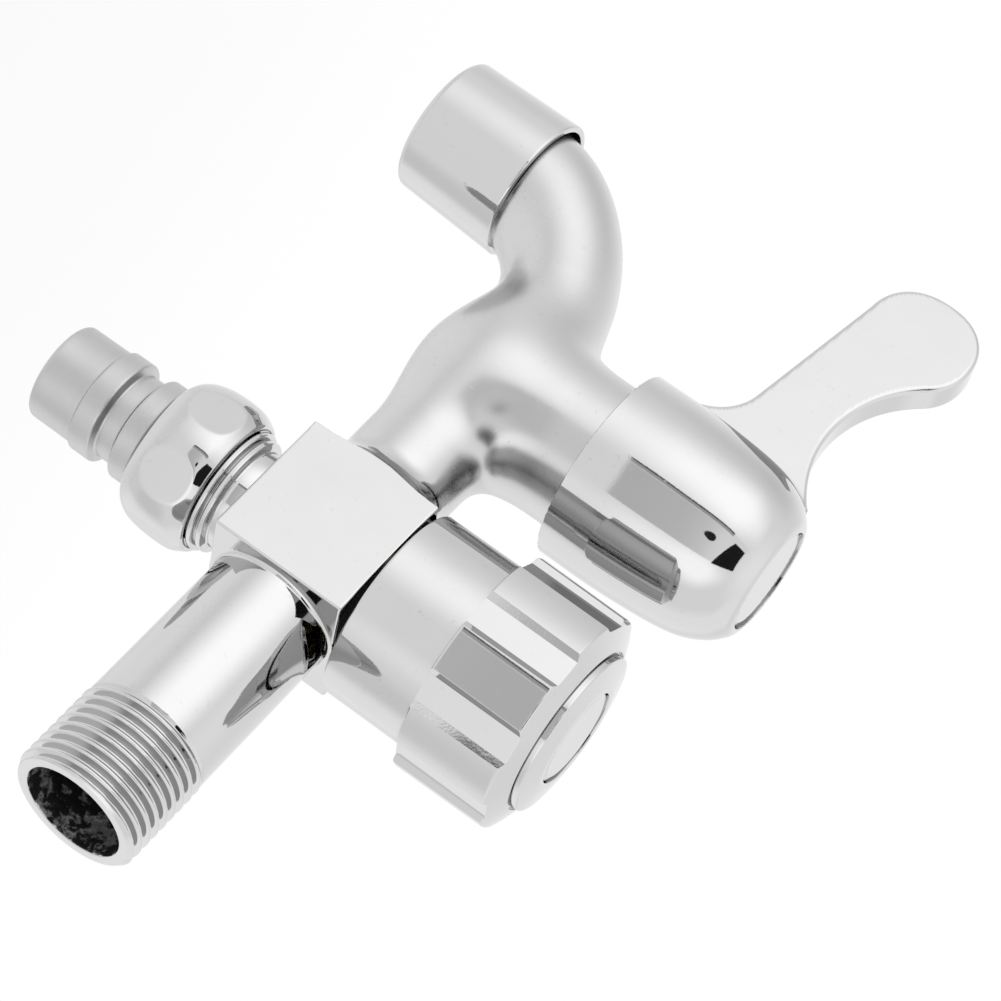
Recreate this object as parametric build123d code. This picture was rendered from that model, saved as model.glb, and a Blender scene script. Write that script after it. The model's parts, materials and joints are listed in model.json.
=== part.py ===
from build123d import *
import math
import os

# Wall tap with a lever-worked spout and a second, hose outlet for a washing machine.
# Millimetres. The origin is the centre of the inlet's mouth, +Y points out of the mouth to the wall,
# -Y is the front, +Z is up, and both handles stand on top.

# Layout of the axes
inlet_reach = 55.65
valve_spacing = 40.4
outlet_reach = 35.65
spout_drop = 35.4
spout_lean = 2.5

# Inlet pipe and square block
thread_diameter = 20.955
thread_length = 15.4
pipe_diameter = 20.5
inlet_bore = 16.2
mouth_bevel = 0.35
pipe_fillet = 0.8
block_width = 23.96
block_front = 10.9
block_back = 12.1
block_height = 22.5
block_edge = 0.45
block_corner = 1.8

# Swan neck and valve boss
neck_radius = 9.2
neck_flare = 6.0
neck_straight = 2.0
swell_radius = 12.2
swell_back_length = 17.0
swell_front_length = 19.0
swell_rise = 0.3
bend_start = (19.15, -0.6)
bend_middle = (10.85, -4.3)
bend_fall = (4.75, -10.0)
bend_end = 4.5
swan_sections = 11
boss_radius = 12.3
boss_root_radius = 11.0
boss_root_height = 13.0
boss_top = 23.5
boss_fillet = 4.5
spout_tip_radius = 10.3

# Waterways inside the casting
chamber_radius = 9.5
port_radius = 4.6
seat_wall = 2.3
seat_tube_wall = 2.0
waterway_radius = 4.6
waterway_height = 1.0
waterway_fall = 2.5
waterway_end_radius = 5.2
trough_depth = 10.5
spout_bore = 5.8
spout_mouth_bore = 7.4
mouth_bore_cone = 2.5

# Ceramic headwork, heights counted up from its seat
headwork_depth = 16.0
headwork_lift = 0.25
sleeve_radius = 7.6
disc_room_radius = 6.3
disc_room_height = 12.25
window_low = 5.95
window_high = 8.8
window_width = 8.0
thread_run = 7.0
thread_bevel = 0.6
hexagon_flats = 22.0
hexagon_bevel = 1.3
hexagon_height = 2.6
collar_radius = 8.5
neck_top_radius = 6.6
neck_over_shoulder = 2.1
main_shoulder_rise = 6.0
flange_ring_radius = 11.7
flange_ring_thickness = 1.0

# Discs, seal and spindle
seal_height = 1.2
disc_thickness = 2.3
disc_gap = 0.02
disc_rib = 0.9
disc_opening_radius = 4.3
drive_slot_width = 3.0
drive_slot_depth = 1.0
drive_flange_height = 2.0
drive_stem_radius = 2.6
spindle_radius = 4.0
spline_teeth = 20
spline_outer = 3.85
spline_inner = 3.45
spline_clearance = 0.06
ring_section = 0.58
ring_groove_radius = 2.8
ring_groove_depth = 4.5
ring_groove_width = 1.5
clip_thickness = 0.8
clip_outer = 5.2
clip_groove_depth = 0.9
clip_slot = 2.4
spindle_shoulder = 0.4
spindle_tip_gap = 0.4
screw_radius = 2.0
screw_head_radius = 3.6
screw_head_height = 2.3
screw_head_round = 0.6
screw_length = 9.0
cross_length = 3.6
cross_width = 0.9
cross_depth = 1.2
fit = 0.05
slack = 0.1
run = 0.3

# Small valve: skirt and lobed handwheel
skirt_radius = 15.4
skirt_wall = 1.1
skirt_foot_gap = 1.05
skirt_height = 15.9
skirt_plate = 1.3
wheel_overlap = 1.3
wheel_length = 17.3
wheel_back_radius = 18.1
wheel_front_radius = 17.95
wheel_edge = 0.5
wheel_bevel = 1.8
wheel_wall = 2.4
lobes = 8
first_groove = 7.0
groove_width = 6.6
groove_floor_width = 4.6
groove_floor = 17.0
wheel_boss_radius = 13.2
wheel_boss_height = 1.8
wheel_boss_step = 0.9
wheel_ring_groove = 0.4
wheel_socket_depth = 5.4
socket_wall = 2.6
socket_floor = 2.2
service_cap_radius = 7.6
cap_thickness = 1.0
cap_edge = 0.3
cap_rim = 1.2
cap_recess = 0.4

# Main valve: bell hub and paddle lever, heights counted up from the hub's foot
hub_radius = 15.72
hub_overlap = 2.3
hub_height = 30.8
hub_straight = 9.8
hub_taper = ((0.37, 15.8), (1.07, 21.8), (2.77, 26.8), (4.82, 29.7))
hub_wall = 2.4
hub_foot_bore = 13.3
hub_socket_depth = 10.6
lever_cap_radius = 8.4
lever_cap_rim = 0.7
lever_cap_recess = 0.6
blade_thickness = 4.8
blade_end_radius = 9.15
blade_end_reach = 50.1
blade_end_height = 24.3
blade_slope = 8.5
blade_waist_back = 23.5
blade_waist_height = 23.2
blade_root_radius = 8.3
blade_root_gap = 1.3
blade_root_fall = 2.5
blade_inset = 5.0
blade_edge = 0.7

# Spout collar and what it holds, heights counted up the collar from the outlet
collar_length = 19.0
collar_foot_radius = 11.47
collar_rim_radius = 12.05
collar_edge = 1.1
collar_rim_edge = 0.3
collar_lip_height = 0.9
collar_lip_radius = 9.3
collar_bore = 10.9
collar_bevel = 0.6
spout_thread_low = 5.6
spout_thread_high = 13.0
washer_height = 1.4
mesh_thickness = 0.3
mesh_height = 0.6
insert_wall = 1.6
insert_rib = 1.0
insert_rib_clearance = 1.2
insert_hub = 2.6
insert_ring_radius = 6.0

# Hose outlet under the block, lengths counted down from the block
nipple_thread_radius = 8.0
nipple_engagement = 4.2
nipple_bore = 5.5
shank_radius = 8.3
shank_length = 3.75
rib_radius = 9.6
rib_width = 0.9
rib_slope = 0.3
union_thread_radius = 10.2
thread_showing = 1.4
nut_engagement = 7.8
union_washer_height = 1.5
washer_overlap = 0.5
nozzle_flange_radius = 9.9
nozzle_flange_height = 1.9
nut_lip = 1.2
nut_lip_clearance = 0.15
nut_belly_radius = 12.4
nut_barrel = ((0.0, 1.5), (0.16, 0.4), (0.43, 0.0), (0.73, 0.35), (0.91, 1.4), (1.0, 3.1))
nut_flats = 23.5
nut_turn = 16.5
nozzle_bore = 5.6
nozzle_ring_radius = 8.5
nozzle_ring_length = 3.5
nozzle_groove_radius = 7.1
nozzle_groove_length = 4.0
nozzle_groove_slope = 0.6
nozzle_tip_radius = 7.9
nozzle_tip_length = 8.15
nozzle_edge = 0.6

# Places worked out from the sizes above
service_y = -inlet_reach
main_y = service_y - valve_spacing
outlet_y = main_y - outlet_reach
block_top = block_height / 2
service_seat = block_top - headwork_depth
main_seat = boss_top - headwork_depth
skirt_foot = block_top + skirt_foot_gap
skirt_top = skirt_foot + skirt_height
wheel_back = skirt_top - wheel_overlap
wheel_front = wheel_back + wheel_length
wheel_boss_top = wheel_front + wheel_boss_height
wheel_socket_top = wheel_front - wheel_socket_depth
wheel_cap_low = wheel_boss_top - cap_recess - cap_thickness
service_shoulder = skirt_top - skirt_plate
main_shoulder = boss_top + main_shoulder_rise
hub_foot = boss_top - hub_overlap
hub_top = hub_foot + hub_height
hub_socket_top = hub_top - hub_socket_depth
lever_cap_low = hub_top - lever_cap_recess - cap_thickness
shank_end = block_top + shank_length
rib_end = shank_end + rib_width
nut_top = rib_end + thread_showing
nipple_end = nut_top + nut_engagement
flange_foot = nipple_end + union_washer_height + nozzle_flange_height
nut_foot = flange_foot + nut_lip
outlet_axis = Plane(origin=(0, outlet_y, -spout_drop), x_dir=(1, 0, 0),
                    z_dir=(0, math.sin(math.radians(spout_lean)), math.cos(math.radians(spout_lean))))


def at_service(solid):
    return Pos(0, service_y, 0) * solid


def at_main(solid):
    return Pos(0, main_y, 0) * solid


def outline(points, rounds=None):
    """Flat face through the points, with the numbered corners rounded."""
    face = make_face(Polyline(*points, close=True))
    for number, radius in (rounds or {}).items():
        corner = face.vertices().sort_by_distance(Vector(*points[number]))[0]
        face = fillet(corner, radius)
    return face


def turned(points, rounds=None):
    """Solid of revolution about Z; the points are (radius, height)."""
    return revolve(Plane.XZ * outline(points, rounds), Axis.Z)


def ring(inner, outer, low, high):
    """Plain ring about Z."""
    return turned([(inner, low), (outer, low), (outer, high), (inner, high)])


def rod(radius, low, high):
    """Plain cylinder about Z."""
    return Pos(0, 0, (low + high) / 2) * Cylinder(radius, high - low)


def rod_along_y(radius, start, end, height=0.0):
    """Cylinder along Y at a height."""
    return Pos(0, (start + end) / 2, height) * Rot(90, 0, 0) * Cylinder(radius, abs(end - start))


def spline_prism(outer, inner, low, high):
    """Toothed prism about Z, for the spindle's spline and its socket."""
    step = math.pi / spline_teeth
    points = []
    for count in range(2 * spline_teeth):
        radius = outer if count % 2 == 0 else inner
        points.append((radius * math.cos(count * step), radius * math.sin(count * step)))
    return Pos(0, 0, low) * extrude(make_face(Polyline(*points, close=True)), high - low)


# The casting

def bend_points():
    """Points on the swan neck's bend, counted back from the outlet's axis and up from the inlet's."""
    return [Vector(0, outlet_y + back, height) for back, height in (bend_start, bend_middle, bend_fall)]


def swan_line():
    """Centre line of the swan neck, from the square block's neck to the straight end in the collar."""
    lean = math.radians(spout_lean)
    start = Vector(0, service_y - block_front - neck_flare - neck_straight, 0)
    over_boss = Vector(0, main_y, swell_rise)
    end = outlet_axis.from_local_coords(Vector(0, 0, collar_length - bend_end))
    down_spout = (0, -math.sin(lean), -math.cos(lean))
    return Spline(start, over_boss, *bend_points(), end, tangents=((0, -1, 0), down_spout))


def swan_radius(ahead, share):
    """Radius of the swan neck: it swells under the valve's boss and grows again towards the collar."""
    reach = swell_front_length if ahead > 0 else swell_back_length
    swell = math.cos(math.pi / 2 * min(abs(ahead) / reach, 1.0)) ** 2
    growth = max(0.0, 2 * share - 1) ** 2
    return neck_radius + swell * (swell_radius - neck_radius) + growth * (spout_tip_radius - neck_radius)


def swan_body():
    """The curved tube from the neck through the valve's swelling to the spout's end."""
    line = swan_line()
    faces = []
    for count in range(swan_sections):
        share = count / (swan_sections - 1)
        centre = line.position_at(share)
        section = Plane(origin=centre, x_dir=(1, 0, 0), z_dir=line.tangent_at(share))
        faces.append(section * Circle(swan_radius(main_y - centre.Y, share)))
    return loft(faces)


def valve_boss():
    """Upright boss that carries the main headwork."""
    body = turned([(0, -2.0), (boss_root_radius, -2.0), (boss_radius, boss_root_height),
                   (boss_radius, boss_top), (0, boss_top)])
    return at_main(body)


def square_block():
    """Block with crisp edges, and larger corners on the side of the neck."""
    length = block_front + block_back
    block = Pos(0, service_y + (block_back - block_front) / 2, 0) * Box(block_width, length, block_height)
    long_edges = block.edges().filter_by(Axis.X).group_by(Axis.Y)[0]
    block = fillet(long_edges, block_corner)
    return fillet(block.edges().filter_by(GeomType.LINE).group_by(Axis.Y)[-1], block_edge)


def cove(start, end, centre, radius):
    """Hollow quarter arc about a centre, from start to end."""
    middle = (start[0] + end[0]) / 2 - centre[0], (start[1] + end[1]) / 2 - centre[1]
    share = radius / math.hypot(*middle)
    return ThreePointArc(start, (centre[0] + share * middle[0], centre[1] + share * middle[1]), end)


def neck_root():
    """Neck with its flare on the block, trimmed by the block's flat sides."""
    face = service_y - block_front
    length = neck_flare + neck_straight
    foot = (neck_radius + neck_flare, 0)
    waist = (neck_radius, -neck_flare)
    flare = make_face([
        Line((0, 1.0), (foot[0], 1.0)),
        Line((foot[0], 1.0), foot),
        cove(foot, waist, (foot[0], waist[1]), neck_flare),
        Line(waist, (neck_radius, -length)),
        Line((neck_radius, -length), (0, -length)),
        Line((0, -length), (0, 1.0)),
    ])
    solid = Pos(0, face, 0) * revolve(flare, Axis.Y)
    trim = Pos(0, face - length / 2, 0) * Box(block_width, length + 4, block_height)
    return solid & trim


def inlet_pipe():
    """Pipe with its threaded length at the thread's outside diameter, and a small fillet on the block."""
    block_face = service_y + block_back
    radius = pipe_diameter / 2
    crest = thread_diameter / 2
    thread_end = -thread_length - (crest - radius)
    foot = (radius + pipe_fillet, block_face)
    waist = (radius, block_face + pipe_fillet)
    profile = make_face([
        Line((0, 0), (crest - mouth_bevel, 0)),
        Line((crest - mouth_bevel, 0), (crest, -mouth_bevel)),
        Line((crest, -mouth_bevel), (crest, -thread_length)),
        Line((crest, -thread_length), (radius, thread_end)),
        Line((radius, thread_end), waist),
        cove(waist, foot, (foot[0], waist[1]), pipe_fillet),
        Line(foot, (foot[0], foot[1] - 1.0)),
        Line((foot[0], foot[1] - 1.0), (0, foot[1] - 1.0)),
        Line((0, foot[1] - 1.0), (0, 0)),
    ])
    return revolve(profile, Axis.Y)


def spout_end():
    """Straight end of the spout inside the collar, with its threaded band."""
    tube = ring(0.0, spout_tip_radius, spout_thread_low, collar_length - bend_end)
    band = ring(0.0, collar_bore - fit, spout_thread_low, spout_thread_high)
    return outlet_axis * (tube + band)


def small_valve_waterways():
    """Inlet bore, and the seat and chamber of the small valve with its way down to the hose outlet."""
    mouth_end = service_y + block_back + 2.0
    mouth = rod_along_y(inlet_bore / 2, 1.0, mouth_end)
    into_block = rod_along_y(waterway_radius, mouth_end + 1.0, service_y, waterway_height)
    chamber = rod(chamber_radius, service_seat, block_top + 1.0)
    port = rod(port_radius, service_seat - seat_wall - 1.0, service_seat + 1.0)
    nipple_hole = rod(nipple_thread_radius + fit, -block_top - 1.0, -block_top + nipple_engagement)
    return [mouth, into_block] + [at_service(hollow) for hollow in (chamber, port, nipple_hole)]


def main_valve_waterways():
    """Passage through the neck, the main seat and its chamber, and the trough round the seat's front."""
    tilt = math.degrees(math.atan2(waterway_fall, valve_spacing))
    through_neck = (Pos(0, service_y - valve_spacing / 2, waterway_height - waterway_fall / 2)
                    * Rot(90 + tilt, 0, 0) * Cylinder(waterway_radius, valve_spacing))
    low_end = waterway_height - waterway_fall
    port = rod(port_radius, low_end, main_seat + 1.0) + Pos(0, 0, low_end) * Sphere(waterway_end_radius)
    chamber = rod(chamber_radius, main_seat, boss_top + 1.0)
    trough = ring(port_radius + seat_tube_wall, chamber_radius, main_seat - trough_depth, main_seat + 0.5)
    front = Pos(0, -1.0 - chamber_radius, main_seat) * Box(
        4 * chamber_radius, 2 * chamber_radius, 2 * trough_depth + 2.0)
    return [through_neck] + [at_main(hollow) for hollow in (port, chamber, trough & front)]


def spout_waterway():
    """Cored passage from the trough to the spout's end, wider at the mouth."""
    start = Vector(0, main_y - port_radius - seat_tube_wall - 0.6, 1.6)
    lean = math.radians(spout_lean)
    end = outlet_axis.from_local_coords(Vector(0, 0, collar_length - bend_end - 1.0))
    path = Spline(start, *bend_points(), end, tangents=((0, -1, 0), (0, -math.sin(lean), -math.cos(lean))))
    channel = sweep(Plane(origin=start, x_dir=(1, 0, 0), z_dir=(0, -1, 0)) * Circle(spout_bore), path)
    cone_foot = collar_length - bend_end - 2.0 - mouth_bore_cone
    mouth = turned([(0, spout_thread_low - 1.0), (spout_mouth_bore, spout_thread_low - 1.0),
                    (spout_mouth_bore, cone_foot), (spout_bore - fit, cone_foot + mouth_bore_cone),
                    (0, cone_foot + mouth_bore_cone)])
    return channel + outlet_axis * mouth


def body_casting():
    """The whole casting, one piece."""
    swan = swan_body()
    boss = valve_boss()
    body = swan + boss
    seam = new_edges(swan, boss, combined=body).sort_by(SortBy.LENGTH)[-1]
    body = fillet(seam, boss_fillet)
    body = body + neck_root() + square_block() + inlet_pipe() + spout_end()
    for hollow in small_valve_waterways() + main_valve_waterways() + [spout_waterway()]:
        body = body - hollow
    return body


# Headworks: what stands still, and the spindle that turns

def headwork(seat, shoulder):
    """Brass body of a ceramic headwork; it screws down into the chamber above the seat."""
    flange = seat + headwork_depth
    hexagon_low = flange + flange_ring_thickness
    hexagon_top = hexagon_low + hexagon_height
    neck_top = shoulder + neck_over_shoulder
    body = turned([
        (disc_room_radius, seat + headwork_lift),
        (sleeve_radius, seat + headwork_lift),
        (sleeve_radius, flange - thread_run),
        (chamber_radius - fit, flange - thread_run + thread_bevel),
        (chamber_radius - fit, flange),
        (collar_radius, flange),
        (collar_radius, shoulder),
        (neck_top_radius, shoulder),
        (neck_top_radius, neck_top),
        (spindle_radius + fit, neck_top),
        (spindle_radius + fit, seat + disc_room_height),
        (disc_room_radius, seat + disc_room_height),
    ])
    hexagon = extrude(Pos(0, 0, hexagon_low) * RegularPolygon(hexagon_flats / 2, 6, major_radius=False),
                      hexagon_height)
    corner = hexagon_flats / 2 / math.cos(math.pi / 6) + slack
    bevel = turned([(0, hexagon_low), (corner, hexagon_low), (corner, hexagon_top - hexagon_bevel),
                    (hexagon_flats / 2 + slack, hexagon_top), (0, hexagon_top)])
    bored = rod(collar_radius - slack, flange - 1.0, hexagon_top + 1.0)
    window = Pos(0, 0, seat + (window_low + window_high) / 2) * Box(
        4 * sleeve_radius, window_width, window_high - window_low)
    return body + ((hexagon & bevel) - bored) - window


def flange_ring(seat):
    """Flat rubber ring squeezed between the hexagon and the casting."""
    flange = seat + headwork_depth
    return ring(collar_radius + slack, flange_ring_radius, flange, flange + flange_ring_thickness)


def lip_seal(seat):
    """Rubber seal between the seat and the fixed disc."""
    return ring(port_radius + slack, disc_room_radius - slack, seat, seat + seal_height)


def ceramic_disc(low, quarter):
    """Ceramic disc with two openings of a quarter turn each."""
    reach = math.sqrt(disc_opening_radius ** 2 - disc_rib ** 2)
    middle = disc_opening_radius * math.sin(math.pi / 4)
    sector = make_face([
        Line((disc_rib, disc_rib), (reach, disc_rib)),
        ThreePointArc((reach, disc_rib), (middle, middle), (disc_rib, reach)),
        Line((disc_rib, reach), (disc_rib, disc_rib)),
    ])
    opening = Pos(0, 0, low - 1.0) * extrude(sector, disc_thickness + 2.0)
    disc = rod(disc_room_radius - slack, low, low + disc_thickness)
    for turn in (quarter, quarter + 180):
        disc = disc - Rot(0, 0, turn) * opening
    return disc


def fixed_disc(seat):
    return ceramic_disc(seat + seal_height, 0)


def moving_disc(seat):
    """Disc that the spindle turns; a slot across its top takes the drive tongue."""
    low = seat + seal_height + disc_thickness + disc_gap
    slot = Box(4 * disc_room_radius, drive_slot_width, drive_slot_depth,
               align=(Align.CENTER, Align.CENTER, Align.MAX))
    return ceramic_disc(low, 90) - Pos(0, 0, low + disc_thickness) * Rot(0, 0, 45) * slot


def clip_base(shoulder):
    """Height of the clip groove's lower side."""
    return shoulder + neck_over_shoulder + slack


def socket_base(shoulder):
    """Height at which a handle's splined socket starts, clear of the clip and the spindle's shoulder."""
    return clip_base(shoulder) + clip_thickness + spindle_shoulder + run


def spindle(seat, shoulder, top):
    """Brass spindle: drive tongue, flange, journal with its ring groove, clip groove and spline."""
    ring_height = shoulder + neck_over_shoulder - ring_groove_depth
    disc_top = seat + seal_height + 2 * disc_thickness + disc_gap
    flange_top = seat + disc_room_height - fit
    flange_low = flange_top - drive_flange_height
    clip_low = clip_base(shoulder)
    journal_top = clip_low + clip_thickness + spindle_shoulder
    body = turned([
        (0, disc_top + slack),
        (drive_stem_radius, disc_top + slack),
        (drive_stem_radius, flange_low),
        (disc_room_radius - slack, flange_low),
        (disc_room_radius - slack, flange_top),
        (spindle_radius, flange_top),
        (spindle_radius, ring_height - ring_groove_width / 2),
        (ring_groove_radius, ring_height - ring_groove_width / 2),
        (ring_groove_radius, ring_height + ring_groove_width / 2),
        (spindle_radius, ring_height + ring_groove_width / 2),
        (spindle_radius, clip_low),
        (spindle_radius - clip_groove_depth, clip_low),
        (spindle_radius - clip_groove_depth, clip_low + clip_thickness),
        (spindle_radius, clip_low + clip_thickness),
        (spindle_radius, journal_top),
        (0, journal_top),
    ])
    tongue_low = disc_top - drive_slot_depth + slack
    tongue = Pos(0, 0, tongue_low) * Rot(0, 0, 45) * Box(
        2 * disc_room_radius, drive_slot_width - 2 * slack, flange_low - tongue_low,
        align=(Align.CENTER, Align.CENTER, Align.MIN))
    trim = rod(disc_room_radius - 2 * slack, seat, flange_top)
    spline = spline_prism(spline_outer, spline_inner, journal_top, top)
    screw_hole = rod(screw_radius + fit, top - screw_length, top + 1.0)
    return body + (tongue & trim) + spline - screw_hole


def spindle_ring(shoulder):
    """O-ring in the spindle's groove."""
    height = shoulder + neck_over_shoulder - ring_groove_depth
    return Pos(0, 0, height) * Torus(ring_groove_radius + ring_section + fit / 2, ring_section)


def spindle_clip(shoulder):
    """Split retaining clip that sits in the spindle's groove above the headwork."""
    low = clip_base(shoulder)
    clip = ring(spindle_radius - clip_groove_depth + fit, clip_outer, low + fit, low + clip_thickness - fit)
    return clip - Pos(0, clip_outer / 2 + 1.0, low) * Box(clip_slot, clip_outer, 4 * clip_thickness)


def handle_screw(web_top):
    """Cheese-head screw with a cross recess; the head bears on the web above the spindle."""
    head_top = web_top + screw_head_height
    screw = turned([(0, web_top - screw_length), (screw_radius, web_top - screw_length),
                    (screw_radius, web_top), (screw_head_radius, web_top),
                    (screw_head_radius, head_top), (0, head_top)], {4: screw_head_round})
    cross = (Box(cross_length, cross_width, 2 * cross_depth)
             + Box(cross_width, cross_length, 2 * cross_depth))
    return screw - Pos(0, 0, head_top) * cross


def cap(radius, low):
    """Thin disc with a soft edge."""
    return turned([(0, low), (radius, low), (radius, low + cap_thickness), (0, low + cap_thickness)],
                  {2: cap_edge})


def handle_bores(shoulder, socket_top, cap_low, cap_radius, top):
    """Splined socket, screw hole, room for the screw's head and counterbore for the cap."""
    web_top = socket_top + socket_floor
    socket = spline_prism(spline_outer + spline_clearance, spline_inner + spline_clearance,
                          clip_base(shoulder), socket_top)
    hole = rod(screw_radius + slack, socket_top - spindle_tip_gap, web_top + 1.0)
    head_room = rod(screw_head_radius + run, web_top, cap_low + 1.0)
    counterbore = rod(cap_radius + slack, cap_low, top + 1.0)
    return socket + hole + head_room + counterbore


# Small valve: skirt and handwheel

def service_skirt():
    plate = skirt_top - skirt_plate
    return turned([
        (skirt_radius - skirt_wall, skirt_foot), (skirt_radius, skirt_foot), (skirt_radius, skirt_top),
        (neck_top_radius + slack, skirt_top), (neck_top_radius + slack, plate),
        (skirt_radius - skirt_wall, plate),
    ], {1: 0.3, 2: 0.5})


def groove_cutter():
    """Cutter for one of the handwheel's grooves: flat floor, sloping walls, open at both ends."""
    depth = wheel_front_radius - groove_floor
    half_floor = groove_floor_width / 2
    half_top = groove_width - half_floor
    section = make_face(Polyline((groove_floor, -half_floor), (groove_floor + 2 * depth, -half_top),
                                 (groove_floor + 2 * depth, half_top), (groove_floor, half_floor),
                                 close=True))
    return Pos(0, 0, wheel_back - 1.0) * extrude(section, wheel_length + 2.0)


def service_knob():
    """Lobed handwheel, hollow, with a splined socket and a counterbore for the cap."""
    rim = wheel_boss_radius + wheel_ring_groove
    wheel = turned([
        (0, wheel_back),
        (wheel_back_radius, wheel_back),
        (wheel_front_radius, wheel_front - wheel_bevel),
        (rim, wheel_front),
        (rim, wheel_front - wheel_ring_groove),
        (wheel_boss_radius, wheel_front - wheel_ring_groove),
        (wheel_boss_radius, wheel_front + wheel_boss_step),
        (service_cap_radius + cap_rim, wheel_boss_top),
        (0, wheel_boss_top),
    ], {1: 0.3, 2: wheel_edge, 6: 0.5})
    for count in range(lobes):
        wheel = wheel - Rot(0, 0, first_groove + count * 360 / lobes) * groove_cutter()
    over_skirt = rod(skirt_radius + run + fit, wheel_back - 1.0, skirt_top + run)
    room = rod(groove_floor - wheel_wall, wheel_back, wheel_socket_top)
    stem = rod(spindle_radius + socket_wall, socket_base(service_shoulder), wheel_socket_top)
    wheel = wheel - over_skirt - (room - stem)
    return wheel - handle_bores(service_shoulder, wheel_socket_top, wheel_cap_low, service_cap_radius,
                                wheel_boss_top)


# Main valve: bell hub and paddle lever

def lever_blade():
    """Flat paddle in the plane of the spout: round end, waist above, straight edge below, curved root."""
    slope = math.radians(blade_slope)
    end = (blade_end_reach, hub_foot + blade_end_height)
    waist_foot = (blade_end_reach - blade_waist_back, hub_foot + blade_waist_height)
    drop = end[1] + blade_end_radius - waist_foot[1]
    span = end[0] - waist_foot[0]
    waist_radius = (span ** 2 + (drop - blade_end_radius) ** 2 - blade_end_radius ** 2) / (2 * drop)
    waist = (waist_foot[0], waist_foot[1] + waist_radius)
    share = blade_end_radius / math.dist(end, waist)
    upper = (end[0] + share * (waist[0] - end[0]), end[1] + share * (waist[1] - end[1]))
    lower = (end[0] + blade_end_radius * math.sin(slope), end[1] - blade_end_radius * math.cos(slope))
    tip = (end[0] + blade_end_radius, end[1])
    inner = hub_radius - blade_inset
    inner_top = (inner, waist[1] - math.sqrt(waist_radius ** 2 - (waist[0] - inner) ** 2))
    root_back = hub_radius + blade_root_gap
    root_x = root_back + blade_root_radius
    edge_height = lower[1] - (lower[0] - root_x) * math.tan(slope)
    root = (root_x, edge_height - blade_root_radius / math.cos(slope))
    root_end = (root[0] - blade_root_radius * math.sin(slope),
                root[1] + blade_root_radius * math.cos(slope))
    face = make_face([
        ThreePointArc(inner_top, waist_foot, upper),
        ThreePointArc(upper, tip, lower),
        Line(lower, root_end),
        cove(root_end, (root_back, root[1]), root, blade_root_radius),
        Line((root_back, root[1]), (inner, root[1] - blade_root_fall)),
        Line((inner, root[1] - blade_root_fall), inner_top),
    ])
    side = Plane(origin=(-blade_thickness / 2, 0, 0), x_dir=(0, -1, 0), z_dir=(-1, 0, 0))
    blade = extrude(side * face, -blade_thickness)
    rims = [edge for edge in blade.edges() if abs(abs(edge.center().X) - blade_thickness / 2) < 0.01
            and edge.bounding_box().min.Y < -hub_radius - 1.0]
    return fillet(rims, blade_edge)


def lever_handle():
    """Bell hub and paddle in one casting, hollow below, with a splined socket and a cap's counterbore."""
    straight_top = (hub_radius, hub_foot + hub_straight)
    crown = (lever_cap_radius + lever_cap_rim, hub_top)
    taper = [(hub_radius - inset, hub_foot + height) for inset, height in hub_taper]
    profile = make_face([
        Line((0, hub_foot), (hub_radius, hub_foot)),
        Line((hub_radius, hub_foot), straight_top),
        Spline(straight_top, *taper, crown, tangents=((0, 1), (-1, 0.12))),
        Line(crown, (0, hub_top)),
        Line((0, hub_top), (0, hub_foot)),
    ])
    handle = revolve(Plane.XZ * profile, Axis.Z) + lever_blade()
    room_top = hub_radius - hub_wall - hub_taper[0][0] - hub_taper[1][0]
    room = turned([
        (0, hub_foot - 1.0),
        (hub_foot_bore, hub_foot - 1.0),
        (hub_foot_bore, straight_top[1]),
        (room_top, hub_socket_top),
        (0, hub_socket_top),
    ])
    stem = rod(spindle_radius + socket_wall, socket_base(main_shoulder), hub_socket_top)
    handle = handle - (room - stem)
    return handle - handle_bores(main_shoulder, hub_socket_top, lever_cap_low, lever_cap_radius, hub_top)


# Spout collar and what it holds

def spout_collar():
    """Smooth cup screwed on the spout's end, with an inward lip at the outlet."""
    return outlet_axis * turned([
        (collar_lip_radius, 0), (collar_foot_radius, 0), (collar_rim_radius, collar_length),
        (collar_bore + slack, collar_length), (collar_bore, collar_length - collar_bevel),
        (collar_bore, collar_lip_height), (collar_lip_radius, collar_lip_height),
    ], {1: collar_edge, 2: collar_rim_edge})


def aerator_insert():
    """Plastic cup with a hub, a ring and a star of ribs that straightens the jet."""
    low = collar_lip_height
    high = spout_thread_low - washer_height
    radius = collar_bore - slack
    cup = ring(radius - insert_wall, radius, low, high)
    for turn in (0, 60, 120):
        rib = Rot(0, 0, turn) * Box(2 * radius - insert_wall, insert_rib, high - low - insert_rib_clearance,
                                    align=(Align.CENTER, Align.CENTER, Align.MAX))
        cup = cup + Pos(0, 0, high) * rib
    hub = rod(insert_hub, low + insert_rib_clearance, high)
    middle = ring(insert_ring_radius - insert_rib / 2, insert_ring_radius + insert_rib / 2,
                  low + insert_rib_clearance, high)
    return outlet_axis * (cup + hub + middle)


def aerator_mesh():
    """Steel gauze disc under the ribs; the weave is too fine to model."""
    low = collar_lip_height + mesh_height
    return outlet_axis * rod(collar_bore - insert_wall - 2 * slack, low, low + mesh_thickness)


def collar_washer():
    """Rubber washer between the insert and the end of the spout."""
    return outlet_axis * ring(spout_mouth_bore + slack, collar_bore - 2 * slack,
                              spout_thread_low - washer_height, spout_thread_low)


# Hose outlet under the block

def outlet_nipple():
    """Nipple with a shank, a rib and the thread that the union nut runs on."""
    tail_top = -block_top + nipple_engagement - slack
    return turned([
        (nipple_bore, tail_top),
        (nipple_thread_radius, tail_top),
        (nipple_thread_radius, -block_top),
        (shank_radius, -block_top),
        (shank_radius, -shank_end),
        (rib_radius, -shank_end),
        (rib_radius, -rib_end),
        (union_thread_radius, -rib_end - rib_slope),
        (union_thread_radius, -nipple_end),
        (nipple_bore, -nipple_end),
    ])


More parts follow.
